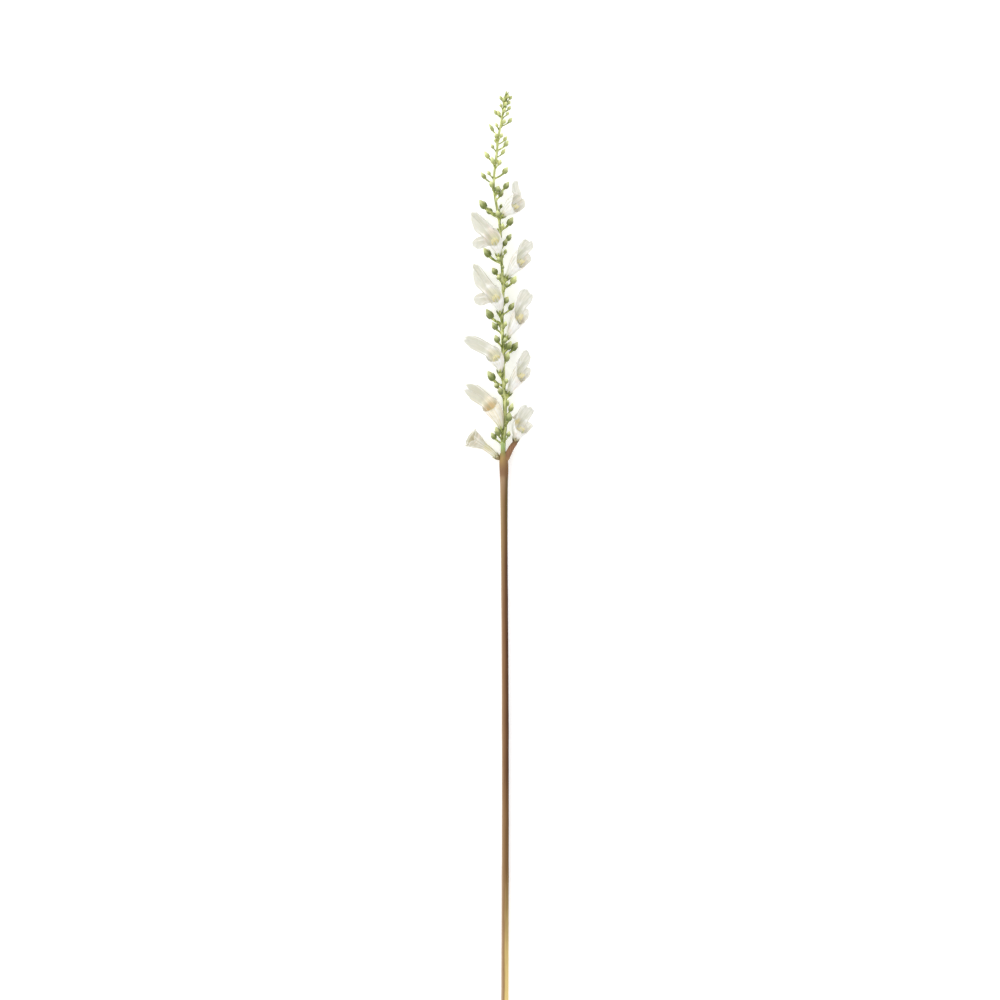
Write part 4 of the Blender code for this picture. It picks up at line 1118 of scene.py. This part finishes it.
def make_sepals(flower, model):
    """Five copies of the model sepal round one flower's foot."""
    ahead = flower.ahead(0)
    sepals = []
    for number in range(SEPALS):
        angle = 2 * math.pi * (number + CALYX_TURN) / SEPALS - flower.turn
        outside = flower.across(0, angle)
        clear = SOLID_WALL / 2 + GAP + SEPAL_THICKNESS / 2
        foot = flower.base + outside * (BASE_RADIUS + clear) - ahead * CALYX_ROOT
        rise = CALYX_REACH - CALYX_ROOT
        away = flower.radius(rise) + clear + CALYX_LEAN
        point = flower.centre(rise) + flower.across(rise, angle) * away
        size = (point - foot).length / CALYX_REACH
        place = place_along(foot, (point - foot).normalized(), outside, 1, size)
        sepals.append(copy_to(model, place))
    return sepals


def make_holder(flower, way, thickness):
    """The stalk and cup of one flower, whose top is pushed in to a shallow hollow."""
    ahead = flower.ahead(0)
    cup = [flower.base - ahead * depth for depth in (*CUP_DEPTHS, CUP_CLEARANCE)]
    radii = [*thickness, CUP_RADIUS * CUP_TAPER, CUP_RADIUS]
    holder = draw_rod("flower_stalk", (*way, *cup), radii, HOLDER_SIDES)
    bpy.ops.object.mode_set(mode="EDIT")
    bpy.ops.mesh.inset(thickness=CUP_RIM * MM)
    bpy.ops.transform.translate(value=-ahead * CUP_HOLLOW * MM)
    bpy.ops.object.mode_set(mode="OBJECT")
    return holder


def make_pistil(flower):
    """The ovary on the cup, the thin style up the tube and its knobbed end."""
    ahead = flower.ahead(0)
    stations = [(flower.base + ahead * distance, radius) for distance, radius in OVARY]
    stations += [(flower.centre(share * flower.length), radius) for share, radius in STYLE]
    way, radii = zip(*stations)
    return draw_rod("pistil", way, radii, PISTIL_SIDES)


def make_holders():
    """Stalks, cups, sepals and pistils of all ten flowers."""
    model = model_sepal(CALYX_REACH, CALYX_WIDTH)
    bpy.ops.object.mode_set(mode="EDIT")
    for share in CALYX_BENDS:
        start = CALYX_REACH * share
        select_points(model.data, lambda point: point.z > start * MM)
        bpy.ops.transform.translate(value=(0, -CALYX_BEND * MM, 0))
    bpy.ops.object.mode_set(mode="OBJECT")
    give_thickness(model, SEPAL_THICKNESS)
    round_off(model, 1)
    note_height(model, "along", 0, CALYX_REACH)
    stalks, sepals, pistils = [], [], []
    for name, row in FLOWERS.items():
        flower = Corolla(*row)
        pistils.append(make_pistil(flower))
        if name == "corolla_right_1":
            branch = make_holder(flower, BRANCH, BRANCH_RADII)
            right_sepals = make_sepals(flower, model)
        elif name == "corolla_left_1":
            left_stalk = make_holder(flower, LEFT_STALK, STALK_RADII)
            left_sepals = make_sepals(flower, model)
        else:
            root = station(AXIS, flower.base.y - STALK_DROP)[0]
            stalks.append(make_holder(flower, (root,), STALK_RADII))
            sepals += make_sepals(flower, model)
    bpy.data.objects.remove(model)
    leaf_green = green_finish("sepal_rind", colour(184, 192, 112), colour(98, 110, 46))
    stalk_green = green_finish("stalk_rind", colour(198, 204, 126), colour(108, 122, 50))
    brownish = green_finish("right_sepal_rind", colour(158, 146, 110), colour(104, 96, 62))
    pale = green_finish("left_sepal_rind", colour(204, 198, 160), colour(160, 152, 112))
    olive = green_finish("left_stalk_rind", colour(160, 144, 104), colour(112, 98, 62))
    for name, pieces, nodes, slot, rind in (
            ("flower_stalks", stalks, ["spike_axis"], "spike_green", stalk_green),
            ("sepals", sepals, ["spike_axis"], "spike_green", leaf_green),
            ("lowest_right_sepals", right_sepals, ["stem"], "stem_brown", brownish),
            ("lowest_left_sepals", left_sepals, ["stem"], "stem_brown", pale),
            ("lowest_left_stalk", [left_stalk], ["stem"], "stem_brown", olive),
            ("branch", [branch], ["stem"], "stem_brown", branch_finish()),
            ("pistils", pistils, ["spike_axis", "stem"], "spike_green", pistil_finish())):
        piece = join(name, pieces)
        outward(piece)
        if "sepals" in name:
            bpy.ops.object.shade_smooth()
        else:
            round_off(piece, 1)
        seat(piece, nodes, [rind])


def branch_finish():
    """The side branch: reddish brown bark, ochre at its root and darker toward the cup."""
    finish, shader, place = new_finish("branch_bark", 0.6, Specular_IOR_Level=0.15)
    _, y, _ = parts(place)
    streaks = grain(place, (900, 90, 900))
    bark = blend(streaks, colour(104, 68, 46), colour(164, 128, 98))
    bark = blend(mask(y + streaks * 0.004, 0.107, 0.100) * 0.8, bark, colour(160, 128, 82))
    bark = blend(mask(y + streaks * 0.003, 0.1155, 0.120) * 0.7, bark, colour(104, 88, 58))
    feed(shader, "Base Color", bark)
    feed(shader, "Normal", relief(streaks, 0.2 * MM, 0.7))
    return finish


def pistil_finish():
    """Pale green ovary, style and stigma."""
    finish, shader, place = new_finish("pistil_skin", 0.4, Subsurface_Weight=0.15, Subsurface_Scale=0.001)
    mottle = grain(place, (1500, 900, 1500))
    feed(shader, "Base Color", blend(mottle, colour(176, 190, 112), colour(226, 228, 176)))
    return finish


make_holders()


# ---- The bracts and the leaves of the tip ----------------------------------------------------------
# A narrow leaf stands under every bud and flower, close to the axis, and the growing tip hides in a
# tuft of the youngest ones. One leaf is modelled and copied. Each grows out of the axis.

BRACT_LENGTH, BRACT_WIDTH = 5.8, 2.0
BRACT_THICKNESS = SEPAL_THICKNESS * 0.8
BRACT_DROP = 1.6            # below the root of the stalk above it
BRACT_SINK = 0.85           # its foot stands at this share of the axis's radius
BRACT_LEAN = 0.75           # how far a bract leans out for each millimetre that it climbs
SMALLEST_BRACT = 0.65       # of the model, at the tip of the spike
TIP_LEAVES = 16
TIP_START, TIP_STOP = 449.0, 465.5
TIP_LEAN = (0.9, 0.15)      # of the lowest and the highest leaf of the tuft
TIP_DRIFT = 0.25            # how far they all lean to the right, as the tip does
TIP_SINK = 0.7
TIP_LENGTH = 1.1            # of the lowest leaf, in models
TIP_SHORTENING = 0.2        # from there to the highest
GOLDEN_ANGLE = 137.5


def make_bracts():
    """Every bract, and the tuft round the tip."""
    model = model_sepal(BRACT_LENGTH, BRACT_WIDTH)
    give_thickness(model, BRACT_THICKNESS)
    round_off(model, 1)
    bracts = []
    spots = [(root, middle - root) for root, middle, _, _ in bud_places()]
    for name, row in FLOWERS.items():
        foot = Vector(row[1])
        if foot.y > BUDS[0][0]:
            root = station(AXIS, foot.y - STALK_DROP)[0]
            spots.append((root, foot - root))
    for root, away in spots:
        out = Vector((away.x, 0, away.z)).normalized()
        size = 1 + (SMALLEST_BRACT - 1) * (root.y - BUDS[0][0]) / (AXIS[-1][1] - BUDS[0][0])
        low = root - Vector((0, BRACT_DROP, 0))
        foot = low + out * (station(AXIS, low.y)[1] * BRACT_SINK)
        ahead = (Vector((0, 1, 0)) + out * BRACT_LEAN).normalized()
        bracts.append(copy_to(model, place_along(foot, ahead, out, size, size)))
    for number in range(TIP_LEAVES):
        share = number / (TIP_LEAVES - 1)
        root, radius = station(AXIS, TIP_START + (TIP_STOP - TIP_START) * share)
        turn = math.radians(GOLDEN_ANGLE * number)
        out = Vector((math.sin(turn), 0, math.cos(turn)))
        lean = TIP_LEAN[0] + (TIP_LEAN[1] - TIP_LEAN[0]) * share
        ahead = (Vector((TIP_DRIFT, 1, 0)) + out * lean).normalized()
        foot = root + out * radius * TIP_SINK
        size = TIP_LENGTH - TIP_SHORTENING * share
        bracts.append(copy_to(model, place_along(foot, ahead, out, 1, size)))
    bpy.data.objects.remove(model)
    bracts = join("bracts", bracts)
    bpy.ops.object.shade_smooth()
    rind = green_finish("bract_rind", colour(196, 204, 118), colour(108, 122, 48))
    seat(bracts, ["spike_axis"], [rind])


make_bracts()


# ---- The hairs -------------------------------------------------------------------------------------
# Short down on the green axis, and longer hairs inside each throat, on the long lip's side. One hair, a
# thin three-sided cone, is modelled and copied. Each grows out of the skin below it.

HAIR_SEED = 23
HAIR_RADIUS = 0.055
DOWN = 900
DOWN_LENGTHS = (0.5, 1.1)
DOWN_RANGE = (118.0, 455.0)
DOWN_CLIMBS = (-0.2, 0.5)   # how far a hair points down or up the axis
DOWN_SINK = 0.88            # its root stands at this share of the axis's radius
THROAT_HAIRS = 26           # in each flower
THROAT_LENGTHS = (1.4, 2.6)
THROAT_SPREAD = (-0.6, 0.6)         # across the long lip
THROAT_RANGE = (0.72, 1.0)          # along the tube
THROAT_AIM = 0.9            # the hairs point at the tube's middle at this share of its length
THROAT_LEANS = (0.2, 0.9)   # and then toward its mouth by this much
THROAT_THICKNESS = 1.2      # in hairs of the down
HAIR_HINT = Vector((0.1, 0.2, 1))   # a direction across which a hair's three sides are laid out


def hair_finish():
    """Glassy white hair, a little yellow here and there."""
    finish, shader, place = new_finish("hair", 0.35, Subsurface_Weight=0.2, Subsurface_Scale=0.001)
    mottle = grain(place, (400, 400, 400))
    feed(shader, "Base Color", blend(mottle, colour(226, 228, 190), colour(250, 250, 242)))
    return finish


def make_hairs():
    """The down of the axis and the hairs of the throats."""
    bpy.ops.object.select_all(action="DESELECT")
    bpy.ops.mesh.primitive_cone_add(vertices=3, radius1=HAIR_RADIUS * MM, radius2=0, depth=1 * MM,
                                    location=(0, 0, 0.5 * MM))
    model = bpy.context.object
    model.name = "hair"
    bpy.ops.object.transform_apply(location=True, rotation=True, scale=True)
    draw = random.Random(HAIR_SEED)
    down, throat = [], []
    for _ in range(DOWN):
        root, radius = station(AXIS, draw.uniform(*DOWN_RANGE))
        turn = draw.uniform(0, 2 * math.pi)
        out = Vector((math.sin(turn), 0, math.cos(turn)))
        ahead = (out + Vector((0, draw.uniform(*DOWN_CLIMBS), 0))).normalized()
        foot = root + out * radius * DOWN_SINK
        place = place_along(foot, ahead, Vector((0, 1, 0)), 1, draw.uniform(*DOWN_LENGTHS))
        down.append(copy_to(model, place))
    for row in FLOWERS.values():
        flower = Corolla(*row)
        aim = flower.length * THROAT_AIM
        for _ in range(THROAT_HAIRS):
            foot = flower.point(LONG_LIP, draw.uniform(*THROAT_SPREAD), draw.uniform(*THROAT_RANGE))
            inward = (flower.centre(aim) - foot).normalized()
            ahead = (inward + flower.ahead(aim) * draw.uniform(*THROAT_LEANS)).normalized()
            length = draw.uniform(*THROAT_LENGTHS)
            place = place_along(foot, ahead, HAIR_HINT, THROAT_THICKNESS, length)
            throat.append(copy_to(model, place))
    bpy.data.objects.remove(model)
    finish = hair_finish()
    seat(join("down", down), ["spike_axis"], [finish])
    seat(join("throat_hairs", throat), list(FLOWERS), [finish])


make_hairs()


# ---- Floor, lights and camera ----------------------------------------------------------------------
# A plain white table, a large soft light up to the left, and a camera that looks straight down.

FLOOR_SIZE = 12.0
FLOOR_GLOW = 0.27           # a little light of its own keeps the shadows on it soft
SKY_STRENGTH = 1.02
KEY_PLACE = (-1.6, 0.9, 1.7)
KEY_AIM = (0, 0.1, 0)
KEY_SIZE = 1.8
KEY_POWER = 20
VIEW_CENTRE = Vector((0.0015, 0.06, 0.01))
VIEW_WIDTH = 1.0
LENS = 180.0
SENSOR = 36.0

bpy.ops.object.select_all(action="DESELECT")
bpy.ops.mesh.primitive_plane_add(size=FLOOR_SIZE)
floor = bpy.context.object
floor.name = "floor"
floor_finish, floor_shader, _ = new_finish("floor", 0.9)
floor_shader.inputs["Base Color"].default_value = (0.95, 0.95, 0.95, 1)
floor_shader.inputs["Emission Color"].default_value = (1, 1, 1, 1)
floor_shader.inputs["Emission Strength"].default_value = FLOOR_GLOW
floor.data.materials.append(floor_finish)

world = bpy.data.worlds.new("studio")
world.use_nodes = True
sky = world.node_tree.nodes["Background"]
sky.inputs["Color"].default_value = (1, 1, 1, 1)
sky.inputs["Strength"].default_value = SKY_STRENGTH
bpy.context.scene.world = world

bpy.ops.object.light_add(type="AREA", location=KEY_PLACE)
key = bpy.context.object
key.name = "key_light"
key.data.size = KEY_SIZE
key.data.energy = KEY_POWER
key.rotation_euler = (Vector(KEY_AIM) - key.location).to_track_quat("-Z", "Y").to_euler()

bpy.ops.object.camera_add(location=VIEW_CENTRE + Vector((0, 0, VIEW_WIDTH * LENS / SENSOR)))
camera = bpy.context.object
camera.name = "camera"
camera.data.lens = LENS
camera.data.sensor_width = SENSOR
camera.data.clip_end = 50
bpy.context.scene.camera = camera
bpy.context.scene.view_settings.view_transform = "Standard"
